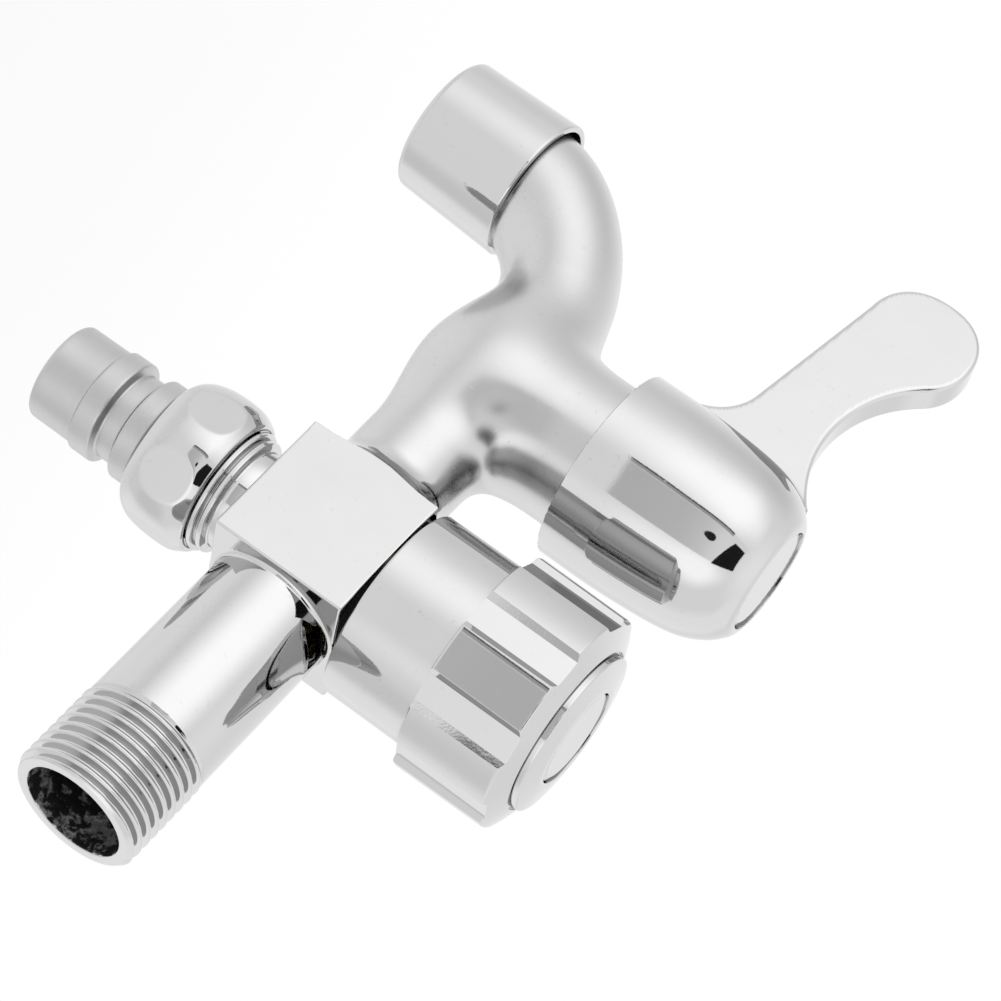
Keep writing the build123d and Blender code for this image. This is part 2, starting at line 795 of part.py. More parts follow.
def union_washer():
    return ring(nipple_bore + washer_overlap, union_thread_radius - washer_overlap,
                -nipple_end - union_washer_height, -nipple_end)


def hose_nozzle():
    """Quick-connect tail: flange inside the nut, ring, groove, ring and plain tip."""
    flange_top = -nipple_end - union_washer_height
    ring_one = -nut_foot - nozzle_ring_length
    groove_end = ring_one - nozzle_groove_length
    ring_two = groove_end - nozzle_ring_length
    tip = ring_two - nozzle_tip_length
    return turned([
        (nozzle_bore, flange_top),
        (nozzle_flange_radius, flange_top),
        (nozzle_flange_radius, -flange_foot),
        (nozzle_ring_radius, -flange_foot),
        (nozzle_ring_radius, ring_one),
        (nozzle_groove_radius, ring_one - nozzle_groove_slope),
        (nozzle_groove_radius, groove_end + nozzle_groove_slope),
        (nozzle_ring_radius, groove_end),
        (nozzle_ring_radius, ring_two),
        (nozzle_tip_radius, ring_two - nozzle_groove_slope / 2),
        (nozzle_tip_radius, tip),
        (nozzle_bore + nozzle_edge, tip),
        (nozzle_bore, tip + nozzle_edge),
    ], {4: 0.3, 7: 0.3, 10: nozzle_edge})


def union_nut():
    """Barrel-shaped nut with six wrench flats and an inward lip that holds the nozzle's flange."""
    throat = nozzle_ring_radius + nut_lip_clearance
    thread = union_thread_radius + fit
    length = nut_foot - nut_top
    barrel = [(nut_belly_radius - inset, -nut_top - share * length) for share, inset in nut_barrel]
    profile = make_face([
        Spline(*barrel),
        Line(barrel[-1], (throat, -nut_foot)),
        Line((throat, -nut_foot), (throat, -flange_foot)),
        Line((throat, -flange_foot), (thread, -flange_foot)),
        Line((thread, -flange_foot), (thread, -nut_top)),
        Line((thread, -nut_top), barrel[0]),
    ])
    flats = Rot(0, 0, nut_turn) * RegularPolygon(nut_flats / 2, 6, major_radius=False)
    return revolve(Plane.XZ * profile, Axis.Z) & Pos(0, 0, -nut_foot) * extrude(flats, length)


def all_parts():
    """Every piece by its node name, in its place."""
    parts = {
        "body_casting": body_casting(),
        "spout_collar": spout_collar(),
        "aerator_insert": aerator_insert(),
        "aerator_mesh": aerator_mesh(),
        "collar_washer": collar_washer(),
        "outlet_nipple": at_service(outlet_nipple()),
        "union_nut": at_service(union_nut()),
        "union_washer": at_service(union_washer()),
        "hose_nozzle": at_service(hose_nozzle()),
        "service_skirt": at_service(service_skirt()),
        "service_knob": at_service(service_knob()),
        "service_knob_screw": at_service(handle_screw(wheel_socket_top + socket_floor)),
        "service_knob_cap": at_service(cap(service_cap_radius, wheel_cap_low)),
        "lever_handle": at_main(lever_handle()),
        "lever_screw": at_main(handle_screw(hub_socket_top + socket_floor)),
        "lever_cap": at_main(cap(lever_cap_radius, lever_cap_low)),
    }
    for name, place, seat, shoulder, socket_top in (
        ("service", at_service, service_seat, service_shoulder, wheel_socket_top),
        ("main", at_main, main_seat, main_shoulder, hub_socket_top),
    ):
        parts[name + "_headwork"] = place(headwork(seat, shoulder))
        parts[name + "_flange_ring"] = place(flange_ring(seat))
        parts[name + "_lip_seal"] = place(lip_seal(seat))
        parts[name + "_fixed_disc"] = place(fixed_disc(seat))
        parts[name + "_moving_disc"] = place(moving_disc(seat))
        parts[name + "_spindle"] = place(spindle(seat, shoulder, socket_top - spindle_tip_gap))
        parts[name + "_spindle_ring"] = place(spindle_ring(shoulder))
        parts[name + "_clip"] = place(spindle_clip(shoulder))
    return parts


os.makedirs("parts", exist_ok=True)
for node, solid in all_parts().items():
    export_step(solid, "parts/" + node + ".step")
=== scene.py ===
import json
import math

import bpy
import numpy as np
from mathutils import Matrix, Vector


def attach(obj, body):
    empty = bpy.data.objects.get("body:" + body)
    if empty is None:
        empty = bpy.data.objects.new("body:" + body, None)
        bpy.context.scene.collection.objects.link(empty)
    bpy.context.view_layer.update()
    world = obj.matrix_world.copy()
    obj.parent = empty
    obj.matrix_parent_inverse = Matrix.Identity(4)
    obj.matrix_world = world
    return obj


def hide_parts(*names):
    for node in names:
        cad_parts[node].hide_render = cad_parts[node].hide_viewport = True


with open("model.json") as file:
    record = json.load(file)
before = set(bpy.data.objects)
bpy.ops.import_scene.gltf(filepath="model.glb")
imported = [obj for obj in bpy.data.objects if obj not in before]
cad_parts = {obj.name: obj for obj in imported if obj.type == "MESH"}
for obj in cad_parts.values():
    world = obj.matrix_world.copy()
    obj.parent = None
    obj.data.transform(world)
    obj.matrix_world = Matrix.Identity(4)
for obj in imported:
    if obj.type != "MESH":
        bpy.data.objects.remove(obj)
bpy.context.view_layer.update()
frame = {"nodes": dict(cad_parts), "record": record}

# Sizes in millimetres and heights above the inlet's axis; piece() brings the meshes to metres.
MM = 0.001
SERVICE_Y = -55.65
MAIN_Y = -96.05
OUTLET_Y = -131.7
SPOUT_DROP = 35.4
SPOUT_LEAN = math.radians(2.5)

BLOCK_HALF = (11.98, 11.5, 11.25)
BLOCK_CENTRE_Y = SERVICE_Y + 0.6
BLOCK_FACE_Y = SERVICE_Y - 10.9
BLOCK_EDGE = 0.42
BLOCK_CORNER = 1.8
PIPE_RADIUS = 10.25
PIPE_FILLET = 0.8
PIPE_COLLAR = 11.2
BORE_RADIUS = 8.1
BORE_END = -41.0
WATERWAY_RADIUS = 4.6
WATERWAY_HEIGHT = 1.0
NECK_RADIUS = 9.2
NECK_FLARE = 6.0
SWELL_RADIUS = 12.15
SWELL_BACK = 17.0
SWELL_FRONT = 19.0
TIP_RADIUS = 10.3
SPOUT_END = 5.6
BOSS_RADIUS = 12.3
BOSS_TOP = 23.5
BOSS_BLEND = 8.5
BOSS_FOOT = -1.0
BOSS_FOOT_BLEND = 9.0
BOSS_TAPER = 1.2
BOSS_TAPER_TOP = 13.0
BOSS_TAPER_LENGTH = 15.0
CASTING_EDGE = 0.3

THREAD_CREST = 10.47
THREAD_ROOT = 9.38
THREAD_PITCH = 1.814
THREAD_LENGTH = 15.4
THREAD_COVER = 16.4

SKIRT_FOOT = 12.3
SKIRT_TOP = 28.2
SKIRT_RADIUS = 15.4
SKIRT_WALL = 1.1
SKIRT_PLATE = 26.9
SPINDLE_HOLE = 6.7

NUT_APOTHEM = 11.75
NUT_TURN = math.radians(46.5)

WHEEL_BACK = 26.9
WHEEL_FRONT = 44.2
WHEEL_RADIUS = 17.95
WHEEL_BEVEL = 1.8
WHEEL_CAP_SEAT = 44.6
WHEEL_CAP_RADIUS = 7.6
LOBES = 8
FIRST_GROOVE = math.radians(7.0)
GROOVE_FLOOR = 17.0
GROOVE_HALF_WIDTH = 2.27

HUB_FOOT = 21.2
HUB_TOP = 52.0
HUB_RADIUS = 15.72
HUB_ROOM_RADIUS = 13.3
HUB_ROOM_TOP = 31.0
HUB_CAP_SEAT = 50.4
HUB_CAP_RADIUS = 8.4


def operator(operation, reflected=False):
    """One arithmetic sign of Term; in its reflected form the term stands on the right."""
    def work(self, other):
        return self.maths(operation, other, self) if reflected else self.maths(operation, self, other)
    return work


class Term:
    """A node socket that can be written in plain arithmetic, in a shader or a geometry tree."""

    def __init__(self, tree, socket):
        self.tree = tree
        self.socket = socket

    def maths(self, operation, first, second=None, clamp=False):
        node = self.tree.nodes.new("ShaderNodeMath")
        node.operation = operation
        node.use_clamp = clamp
        for number, value in enumerate((first, second)):
            if value is not None:
                set_socket(self.tree, node.inputs[number], value)
        return Term(self.tree, node.outputs[0])

    __add__, __radd__ = operator("ADD"), operator("ADD", True)
    __sub__, __rsub__ = operator("SUBTRACT"), operator("SUBTRACT", True)
    __mul__, __rmul__ = operator("MULTIPLY"), operator("MULTIPLY", True)
    __truediv__, __rtruediv__ = operator("DIVIDE"), operator("DIVIDE", True)

    def __neg__(self):
        return self.maths("MULTIPLY", self, -1.0)

    def call(self, operation, other=None):
        return self.maths(operation, self, other)

    def clamp(self):
        return self.maths("ADD", self, 0.0, clamp=True)

    def least(self, other):
        return self.maths("MINIMUM", self, other)

    def most(self, other):
        return self.maths("MAXIMUM", self, other)


def set_socket(tree, socket, value):
    """Links a term to a socket, or sets the socket's own value."""
    if isinstance(value, Term):
        tree.links.new(value.socket, socket)
    else:
        socket.default_value = value


class Tree:
    """A node tree with one way to add any node: its type, its settings and the values of its sockets."""

    def __init__(self, tree):
        self.tree = tree

    def node(self, kind, settings=None, inputs=None, output=0):
        made = self.tree.nodes.new(kind)
        for name, value in (settings or {}).items():
            setattr(made, name, value)
        for name, value in (inputs or {}).items():
            set_socket(self.tree, made.inputs[name], value)
        return Term(self.tree, made.outputs[output])

    def smooth(self, value, low, high, first=0.0, last=1.0):
        """A smooth step of a value from first to last between low and high."""
        return self.node("ShaderNodeMapRange", {"interpolation_type": "SMOOTHSTEP"}, {
            "Value": value, "From Min": low, "From Max": high, "To Min": first, "To Max": last})

    def axes(self, vector, count=3):
        """The first numbers of a vector, as one term each."""
        return [self.node("ShaderNodeSeparateXYZ", None, {0: vector}, output=axis) for axis in range(count)]


class Finish(Tree):
    """One material: a principled surface whose sockets take terms."""

    def __init__(self, name, **fixed):
        self.material = bpy.data.materials.new(name)
        self.material.use_nodes = True
        super().__init__(self.material.node_tree)
        self.surface = self.tree.nodes["Principled BSDF"]
        self.place = self.node("ShaderNodeTexCoord", output="Object")
        for socket, value in fixed.items():
            self.set(socket.replace("_", " "), value)

    def set(self, socket, value):
        set_socket(self.tree, self.surface.inputs[socket], value)

    def noise(self, scale, detail=2.0, roughness=0.5, stretch=None):
        where = self.place
        if stretch:
            where = self.node("ShaderNodeMapping", None, {"Vector": self.place, "Scale": stretch})
        return self.node("ShaderNodeTexNoise", None, {
            "Vector": where, "Scale": scale, "Detail": detail, "Roughness": roughness})

    def mix(self, share, first, last):
        """Colour between two colours; sockets 0, 6 and 7 are the factor and the two colours."""
        return self.node("ShaderNodeMix", {"data_type": "RGBA"}, {0: share, 6: first, 7: last}, output=2)

    def bump(self, height, distance):
        self.set("Normal", self.node("ShaderNodeBump", None, {"Height": height, "Distance": distance}))


def solid(colour, share=1.0):
    """An opaque colour, darkened to a share of itself."""
    return tuple(value * share for value in colour) + (1.0,)


def grey(value):
    return solid((value, value, value))


CHROME = 0.72
NECK_SOFTNESS = 0.2
SCALE_LIGHT, SCALE_DARK = 0.85, 0.04


def chrome_finish(name, softness, wave, cast=False):
    """Polished plate: faint waviness from belt polishing, a fine cloudy bloom and small plating specks.

    On the casting, the swan neck has a softer polish than the block, and the bore is left as cast.
    """
    finish = Finish(name, Metallic=1.0)
    cloud = finish.noise(140.0, 3.0, 0.6)
    fine = finish.noise(2600.0, 2.0, 0.5)
    specks = finish.smooth(finish.noise(900.0, 1.0, 0.4), 0.70, 0.78)
    colour = finish.mix((cloud * 0.7 + specks * 0.5).clamp(), grey(CHROME), grey(CHROME * 0.93))
    roughness = softness + cloud * 0.035 + specks * 0.08
    waves = finish.noise(75.0, 1.5, 0.45) * wave + fine * 0.0000012
    if cast:
        x, y, z = finish.axes(finish.place)
        from_axis = (x * x + z * z).call("SQRT")
        neck = finish.smooth(y, (BLOCK_FACE_Y - 3.0) * MM, (BLOCK_FACE_Y - 9.0) * MM)
        bore = (finish.smooth(from_axis, (BORE_RADIUS + 0.1) * MM, (BORE_RADIUS + 0.05) * MM)
                * finish.smooth(y, (BORE_END - 1.0) * MM, BORE_END * MM))
        scale = finish.noise(380.0, 4.0, 0.65)
        pits = finish.smooth(scale, 0.4, 0.52)
        colour = finish.mix(bore, colour, finish.mix(pits, grey(SCALE_LIGHT), grey(SCALE_DARK)))
        roughness = roughness + neck * NECK_SOFTNESS + bore * (0.4 + pits * 0.2)
        waves = waves + bore * scale * 0.0003
    finish.set("Base Color", colour)
    finish.set("Roughness", roughness)
    finish.bump(waves, 1.0)
    return finish.material


def satin_finish(name, tint):
    """Turned satin plate: fine rings round the axis and slight blotches."""
    finish = Finish(name, Metallic=1.0)
    rings = finish.noise(300.0, 4.0, 0.7, (0.02, 0.02, 30.0))
    blotch = finish.noise(220.0, 3.0, 0.6)
    finish.set("Base Color", finish.mix((blotch * 0.6 + rings * 0.4).clamp(), solid(tint), solid(tint, 0.84)))
    finish.set("Roughness", 0.22 + rings * 0.12 + blotch * 0.06)
    finish.bump(rings, 0.00003)
    return finish.material


def brass_with_painted_shade():
    """Turned brass with fine rings; its colour is darkened as painted shade, since it stands in the shade under
    the hub and the skirt.
    """
    finish = Finish("turned_brass", Metallic=1.0)
    rings = finish.noise(300.0, 4.0, 0.7, (0.02, 0.02, 20.0))
    # Painted shade: both brass tones are darkened well below bright brass, for the shade under the hub and the
    # skirt.
    finish.set("Base Color", finish.mix(rings, solid((0.44, 0.33, 0.16)), solid((0.34, 0.25, 0.12))))
    finish.set("Roughness", 0.24 + rings * 0.15)
    finish.bump(rings, 0.00002)
    return finish.material


def moulded_finish(name, colour, roughness, grain):
    """Rubber, plastic or ceramic: a plain colour with a fine grain."""
    finish = Finish(name)
    grains = finish.noise(grain, 3.0, 0.55)
    finish.set("Base Color", finish.mix(grains, solid(colour), solid(colour, 0.86)))
    finish.set("Roughness", roughness - 0.04 + grains * 0.08)
    finish.bump(grains, 0.00002)
    return finish.material


def gauze_finish():
    """Woven wire: two crossed sets of waves, dark where the mesh is open."""
    finish = Finish("steel_gauze", Metallic=1.0)
    wires = [finish.node("ShaderNodeTexWave", {"bands_direction": axis}, {
        "Vector": finish.place, "Scale": 520.0}) for axis in ("X", "Y")]
    cover = wires[0].most(wires[1])
    finish.set("Base Color", finish.mix(finish.smooth(cover, 0.45, 0.75), grey(0.02), grey(0.5)))
    finish.set("Roughness", 0.55 - cover * 0.25)
    finish.bump(cover, 0.0001)
    return finish.material


MATERIALS = {
    "chrome": chrome_finish("chrome", 0.03, 0.00004),
    "cast_chrome": chrome_finish("cast_chrome", 0.03, 0.00004, cast=True),
    "cap_chrome": chrome_finish("cap_chrome", 0.05, 0.00002),
    "satin_nozzle": satin_finish("satin_nozzle", (0.66, 0.66, 0.66)),
    "turned_brass": brass_with_painted_shade(),
    "ceramic": moulded_finish("ceramic", (0.86, 0.85, 0.82), 0.25, 900.0),
    "black_rubber": moulded_finish("black_rubber", (0.02, 0.02, 0.02), 0.6, 1500.0),
    "white_plastic": moulded_finish("white_plastic", (0.8, 0.81, 0.8), 0.45, 800.0),
    "steel_gauze": gauze_finish(),
    "zinc_steel": satin_finish("zinc_steel", (0.60, 0.61, 0.60)),
}


def mesh_of(name, points, faces):
    """A mesh from points in millimetres and faces of up to four corners; -1 stands for no corner."""
    mesh = bpy.data.meshes.new(name)
    faces = [[corner for corner in face if corner >= 0] for face in np.asarray(faces).tolist()]
    mesh.from_pydata((np.asarray(points, float) * MM).tolist(), [], faces)
    mesh.update()
    return mesh


def placed(name, data):
    """A new object in the scene, at the origin."""
    thing = bpy.data.objects.new(name, data)
    bpy.context.scene.collection.objects.link(thing)
    return thing


def piece(name, points, faces, body, slot, replaced=(), normals=None, finish=None):
    """A finished piece from points in millimetres, riding on its body."""
    mesh = mesh_of(name, points, faces)
    mesh.validate()
    mesh.shade_smooth()
    mesh.materials.append(MATERIALS[finish or slot])
    if normals is not None:
        mesh.normals_split_custom_set_from_vertices(normals)
    return settle(placed(name, mesh), body, replaced)


def settle(thing, body, replaced=()):
    """Puts a piece on its body, in place of the CAD nodes that it dresses."""
    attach(thing, body)
    if replaced:
        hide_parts(*replaced)
    return thing


# Turned pieces

SUPPORT = 0.12
AXIS = 1e-6


def rounded(corners, steps=6):
    """Profile with each corner (radius, height, round) turned into an arc, with a support point at each end."""
    path = []
    count = len(corners)
    for number, (radius, height, size) in enumerate(corners):
        here = np.array((radius, height), float)
        if size <= 0 or number in (0, count - 1):
            path.append(here)
            continue
        before = np.array(corners[number - 1][:2], float) - here
        after = np.array(corners[number + 1][:2], float) - here
        reach_before, reach_after = np.linalg.norm(before), np.linalg.norm(after)
        before, after = before / reach_before, after / reach_after
        half = math.acos(np.clip(before @ after, -1, 1)) / 2
        setback = min(size / math.tan(half), 0.46 * reach_before, 0.46 * reach_after)
        size = setback * math.tan(half)
        centre = here + (before + after) / np.linalg.norm(before + after) * size / math.sin(half)
        path.append(here + before * (setback + min(0.04 * reach_before, SUPPORT)))
        start, end = here + before * setback - centre, here + after * setback - centre
        turn = math.acos(np.clip((start @ end) / size ** 2, -1, 1))
        for step in range(steps + 1):
            share = step / steps
            blend = math.sin((1 - share) * turn) * start + math.sin(share * turn) * end
            path.append(centre + blend / math.sin(turn))
        path.append(here + after * (setback + min(0.04 * reach_after, SUPPORT)))
    return np.array(path)


def divided(profile, longest):
    """Profile with its long runs cut into shorter ones."""
    points = [profile[0]]
    for start, end in zip(profile[:-1], profile[1:]):
        parts = max(1, int(math.ceil(np.linalg.norm(end - start) / longest)))
        points.extend(start + (end - start) * step / parts for step in range(1, parts + 1))
    return np.array(points)


def even_turn(count):
    return np.arange(count) * 2 * math.pi / count


def lathe(profile, angles):
    """Points and faces of a closed turned solid about Z from its (radius, height) outline, either way round.

    Rows on the axis become one point each; -1 marks the corner that a face loses there.
    """
    profile = np.asarray(profile, float)
    area = np.sum(profile[:, 0] * np.roll(profile[:, 1], -1) - np.roll(profile[:, 0], -1) * profile[:, 1])
    if area < 0:
        profile = profile[::-1]
    shape = (len(angles), len(profile))
    points = np.stack([np.outer(np.cos(angles), profile[:, 0]), np.outer(np.sin(angles), profile[:, 0]),
                       np.tile(profile[:, 1], (len(angles), 1))], axis=-1).reshape(-1, 3)
    index = np.arange(shape[0] * shape[1]).reshape(shape)
    poles = profile[:, 0] < AXIS
    index[:, poles] = index[0, poles]
    beside = np.roll(index, -1, axis=0)
    faces = np.stack([index, beside, np.roll(beside, -1, axis=1), np.roll(index, -1, axis=1)], axis=-1)
    faces = faces.reshape(-1, 4)
    lost = faces == np.roll(faces, 1, axis=1)
    kept = lost.sum(axis=1) < 2
    faces, lost = faces[kept], lost[kept]
    used, faces = np.unique(faces, return_inverse=True)
    faces = faces.reshape(-1, 4)
    faces[lost] = -1
    return points[used], faces


def turned_piece(name, profile, place, body, slot, replaced, columns=256, lean=0.0):
    """A turned piece whose axis passes through place, leaning in the plane of the spout."""
    points, faces = lathe(profile, even_turn(columns))
    if lean:
        points = points @ np.array(Matrix.Rotation(-lean, 3, "X")).T
    return piece(name, points + np.array(place), faces, body, slot, replaced)


def make_skirt():
    """Thin cylinder with a plate on top that the spindle comes through."""
    inner = SKIRT_RADIUS - SKIRT_WALL
    profile = rounded([
        (SPINDLE_HOLE, SKIRT_PLATE, 0), (inner, SKIRT_PLATE, 0), (inner, SKIRT_FOOT, 0.2),
        (SKIRT_RADIUS, SKIRT_FOOT, 0.35), (SKIRT_RADIUS, SKIRT_TOP, 0.5), (SPINDLE_HOLE, SKIRT_TOP, 0)])
    turned_piece("service_skirt_shell", profile, (0, SERVICE_Y, 0), "root", "chrome", ["service_skirt"])


def make_collar():
    """Collar that widens upwards, with a lip turned in at the outlet."""
    profile = rounded([
        (9.3, 0.9, 0), (9.3, 0, 0.25), (11.47, 0, 1.1), (12.05, 19.0, 0.35), (11.0, 19.0, 0.15),
        (10.9, 18.4, 0), (10.9, 0.9, 0)])
    profile = divided(profile, 4.0)
    turned_piece("spout_collar_shell", profile, (0, OUTLET_Y, -SPOUT_DROP), "root", "chrome",
                 ["spout_collar"], lean=SPOUT_LEAN)


def make_nipple():
    """Shank, rib and the end that the union nut screws over."""
    foot = -BLOCK_HALF[2]
    profile = rounded([
        (5.5, -8.0, 0), (8.3, -8.0, 0), (8.3, foot - 3.6, 0.3), (9.6, foot - 3.75, 0.25),
        (9.6, foot - 4.6, 0.25), (9.1, foot - 4.75, 0.1), (9.1, foot - 5.0, 0.1), (10.2, foot - 5.1, 0.25),
        (10.2, foot - 5.9, 0.25), (9.5, foot - 6.2, 0.1), (9.5, foot - 13.85, 0), (5.5, foot - 13.85, 0)])
    turned_piece("outlet_nipple_turned", profile, (0, SERVICE_Y, 0), "root", "chrome", ["outlet_nipple"])


def make_nozzle():
    """Hose tail: flange inside the nut, shank, deep groove, ring and plain tip."""
    profile = rounded([
        (5.6, -26.6, 0), (9.9, -26.6, 0.2), (9.9, -28.5, 0.2), (8.45, -28.5, 0.1), (8.45, -33.2, 0.45),
        (7.15, -33.7, 0.35), (7.1, -36.7, 0.35), (8.5, -37.2, 0.4), (8.5, -40.7, 0.45),
        (7.95, -40.95, 0.15), (7.9, -48.85, 0.75), (6.3, -48.85, 0.35), (5.6, -48.0, 0.3)])
    profile = divided(profile, 2.5)
    turned_piece("hose_nozzle_turned", profile, (0, SERVICE_Y, 0), "root", "satin_nozzle", ["hose_nozzle"])


def make_cap(name, radius, low, place, body, replaced, dish):
    """Disc 1 mm thick whose face stands a little proud of its rim."""
    rim, rim_width = low + 1.0, 0.9
    profile = rounded([(0, low, 0), (radius, low, 0.1), (radius, rim, 0.25),
                       (radius - rim_width, rim + dish, 0.3), (0, rim + dish, 0)])
    turned_piece(name, divided(profile, 1.5), place, body, "cap_chrome", replaced)


# Pieces shaped by a rule: a turned blank that a geometry tree cuts

class Rule(Tree):
    """A geometry tree on one mesh, with named inputs for its sizes, that moves points and sets the material."""

    def __init__(self, name, sizes):
        super().__init__(bpy.data.node_groups.new(name, "GeometryNodeTree"))
        sockets = self.tree.interface
        for side in ("INPUT", "OUTPUT"):
            sockets.new_socket("Geometry", in_out=side, socket_type="NodeSocketGeometry")
        for label, value in sizes.items():
            sockets.new_socket(label, in_out="INPUT", socket_type="NodeSocketFloat").default_value = value
        self.entry = self.tree.nodes.new("NodeGroupInput")
        self.exit = self.tree.nodes.new("NodeGroupOutput")
        self.sizes = sizes

    def size(self, label):
        return Term(self.tree, self.entry.outputs[label])

    def place(self):
        return self.axes(self.node("GeometryNodeInputPosition"))

    def finish(self, x, y, z, material):
        """Moves the blank's points, then ends the tree with its instances made real and its material set."""
        point = self.node("ShaderNodeCombineXYZ", None, {0: x, 1: y, 2: z})
        moved = self.node("GeometryNodeSetPosition", None, {
            "Geometry": Term(self.tree, self.entry.outputs["Geometry"]), "Position": point})
        whole = self.node("GeometryNodeRealizeInstances", None, {"Geometry": moved})
        smooth = self.node("GeometryNodeSetShadeSmooth", None, {"Geometry": whole})
        dressed = self.node("GeometryNodeSetMaterial", None, {"Geometry": smooth, "Material": material})
        self.tree.links.new(dressed.socket, self.exit.inputs[0])

    def apply(self, name, mesh):
        """Runs the tree on a mesh and returns the plain mesh that comes out."""
        blank = placed(name, mesh)
        modifier = blank.modifiers.new("rule", "NODES")
        modifier.node_group = self.tree
        for item in self.tree.interface.items_tree:
            if item.in_out == "INPUT" and item.name in self.sizes:
                modifier[item.identifier] = self.sizes[item.name]
        graph = bpy.context.evaluated_depsgraph_get()
        made = bpy.data.meshes.new_from_object(blank.evaluated_get(graph))
        bpy.data.objects.remove(blank)
        return made


def ruled_piece(name, rule, points, faces, place, body, replaced):
    """A blank about its own axis, shaped by the rule, then put in its place."""
    mesh = rule.apply(name, mesh_of(name, points, faces))
    mesh.transform(Matrix.Translation(Vector(place) * MM))
    return settle(placed(name, mesh), body, replaced)


def spun(rule, x, y, turn, count):
    """Angle inside one of several equal shares of a turn, counted from the share's middle."""
    angle = y.call("ARCTAN2", x) - turn
    share = 2 * math.pi / count
    return rule.node("ShaderNodeMath", {"operation": "WRAP"}, {0: angle, 1: share / 2, 2: -share / 2})


def nut_rule():
    """Six wrench flats that cut ovals into a barrel."""
    rule = Rule("wrench_flats", {"apothem": NUT_APOTHEM * MM, "edge": 0.12 * MM})
    x, y, z = rule.place()
    radius = (x * x + y * y).call("SQRT")
    angle = spun(rule, x, y, NUT_TURN, 6)
    flat = rule.size("apothem") / angle.call("COSINE")
    gap = (radius - flat).call("ABSOLUTE")
    soft = (1.0 - gap / rule.size("edge")).most(0.0)
    cut = radius.least(flat) - soft * soft * rule.size("edge") * 0.25
    outside = rule.smooth(radius, 10.7 * MM, 10.9 * MM)
    scale = (cut / radius - 1.0) * outside + 1.0
    rule.finish(x * scale, y * scale, z, MATERIALS["chrome"])
    return rule


def make_nut():
    """Union nut: a barrel turned from bore to lip, then cut by its flats."""
    bore = [(8.65, -28.5, 0), (10.25, -28.5, 0), (10.25, -17.3, 0), (10.75, -17.3, 0.15)]
    barrel = np.array([
        (11.1, -17.55), (11.55, -18.3), (12.05, -19.3), (12.28, -20.3), (12.38, -21.3), (12.42, -22.6),
        (12.37, -23.8), (12.25, -25.0), (12.06, -26.0), (11.85, -26.8), (11.6, -27.5), (11.3, -28.1),
        (10.9, -28.7), (10.45, -29.15), (10.0, -29.45), (9.4, -29.65)])
    places = np.arange(len(barrel))
    fine = np.linspace(0, len(barrel) - 1, 90)
    curve = np.stack([smooth_through(places, values)(fine) for values in barrel.T], axis=1)
    profile = np.vstack([rounded(bore), curve, [(9.0, -29.7), (8.65, -29.5)]])
    points, faces = lathe(profile, even_turn(432))
    ruled_piece("union_nut_barrel", nut_rule(), points, faces, (0, SERVICE_Y, 0), "root",
                ["union_nut"])


def knob_rule():
    """Eight flat-floored grooves with sloping walls, cut along the whole rim of the handwheel."""
    rule = Rule("rim_grooves", {
        "first": FIRST_GROOVE, "half_floor": GROOVE_HALF_WIDTH * MM, "floor": GROOVE_FLOOR * MM, "slope": 0.68})
    x, y, z = rule.place()
    radius = (x * x + y * y).call("SQRT")
    angle = spun(rule, x, y, rule.size("first"), LOBES)
    ahead = radius * angle.call("COSINE")
    beside = (radius * angle.call("SINE")).call("ABSOLUTE")
    slope = rule.size("slope")
    on_floor = rule.size("floor") / ahead
    on_wall = (rule.size("floor") - rule.size("half_floor") * slope) / (ahead - beside * slope)
    scale = on_floor.most(on_wall).least(1.0)
    rule.finish(x * scale, y * scale, z, MATERIALS["chrome"])
    return rule


def make_knob():
    """Handwheel: straight rim, cone in front, thin ring groove round a low domed boss."""
    rim, ring_floor, plate_back, boss_top = WHEEL_FRONT - WHEEL_BEVEL, WHEEL_FRONT - 0.45, 39.4, 46.0
    cone_radius = 16.8
    cone_height = rim + (WHEEL_RADIUS - cone_radius) * WHEEL_BEVEL / (WHEEL_RADIUS - 13.65)
    profile = rounded([
        (15.75, 28.5, 0), (15.75, WHEEL_BACK, 0.2), (18.1, WHEEL_BACK, 0.35), (WHEEL_RADIUS, rim, 0.4),
        (cone_radius, cone_height, 0), (13.65, WHEEL_FRONT, 0.12), (13.6, ring_floor, 0.08),
        (13.2, ring_floor, 0.08), (13.2, WHEEL_FRONT + 0.95, 0.35), (8.7, boss_top, 0.2),
        (7.75, boss_top, 0.15), (7.7, WHEEL_CAP_SEAT, 0), (0, WHEEL_CAP_SEAT, 0), (0, plate_back, 0),
        (14.6, plate_back, 0), (14.6, 28.5, 0)])
    profile = divided(profile, 1.2)
    near_floor = [row for row in range(len(profile) - 1)
                  if profile[row][1] > 42.2 and 16.9 < profile[row][0] < WHEEL_RADIUS]
    low, high = near_floor[0], near_floor[-1] + 1
    profile = np.vstack([profile[:low], divided(profile[low:high + 1], 0.07), profile[high + 1:]])
    points, faces = lathe(profile, knob_columns())
    ruled_piece("service_knob_wheel", knob_rule(), points, faces, (0, SERVICE_Y, 0), "knob",
                ["service_knob"])


def knob_columns():
    """Angles of the wheel's columns, close together at the feet and tops of the grooves' walls."""
    foot = [0.0, 3.8, 6.9, 7.3, 7.5, 7.57, 7.64, 7.75, 8.0, 8.6, 9.4, 10.0, 10.25]
    top = np.linspace(10.35, 11.05, 9)
    land = [11.15, 11.35, 11.8, 12.8, 14.8, 17.3, 19.9]
    one_side = np.radians(np.concatenate([foot, top, land]))
    whole = np.concatenate([-one_side[:0:-1], one_side, [math.pi / LOBES]])
    return np.concatenate([FIRST_GROOVE + turn + whole for turn in even_turn(LOBES)])


# The inlet's thread

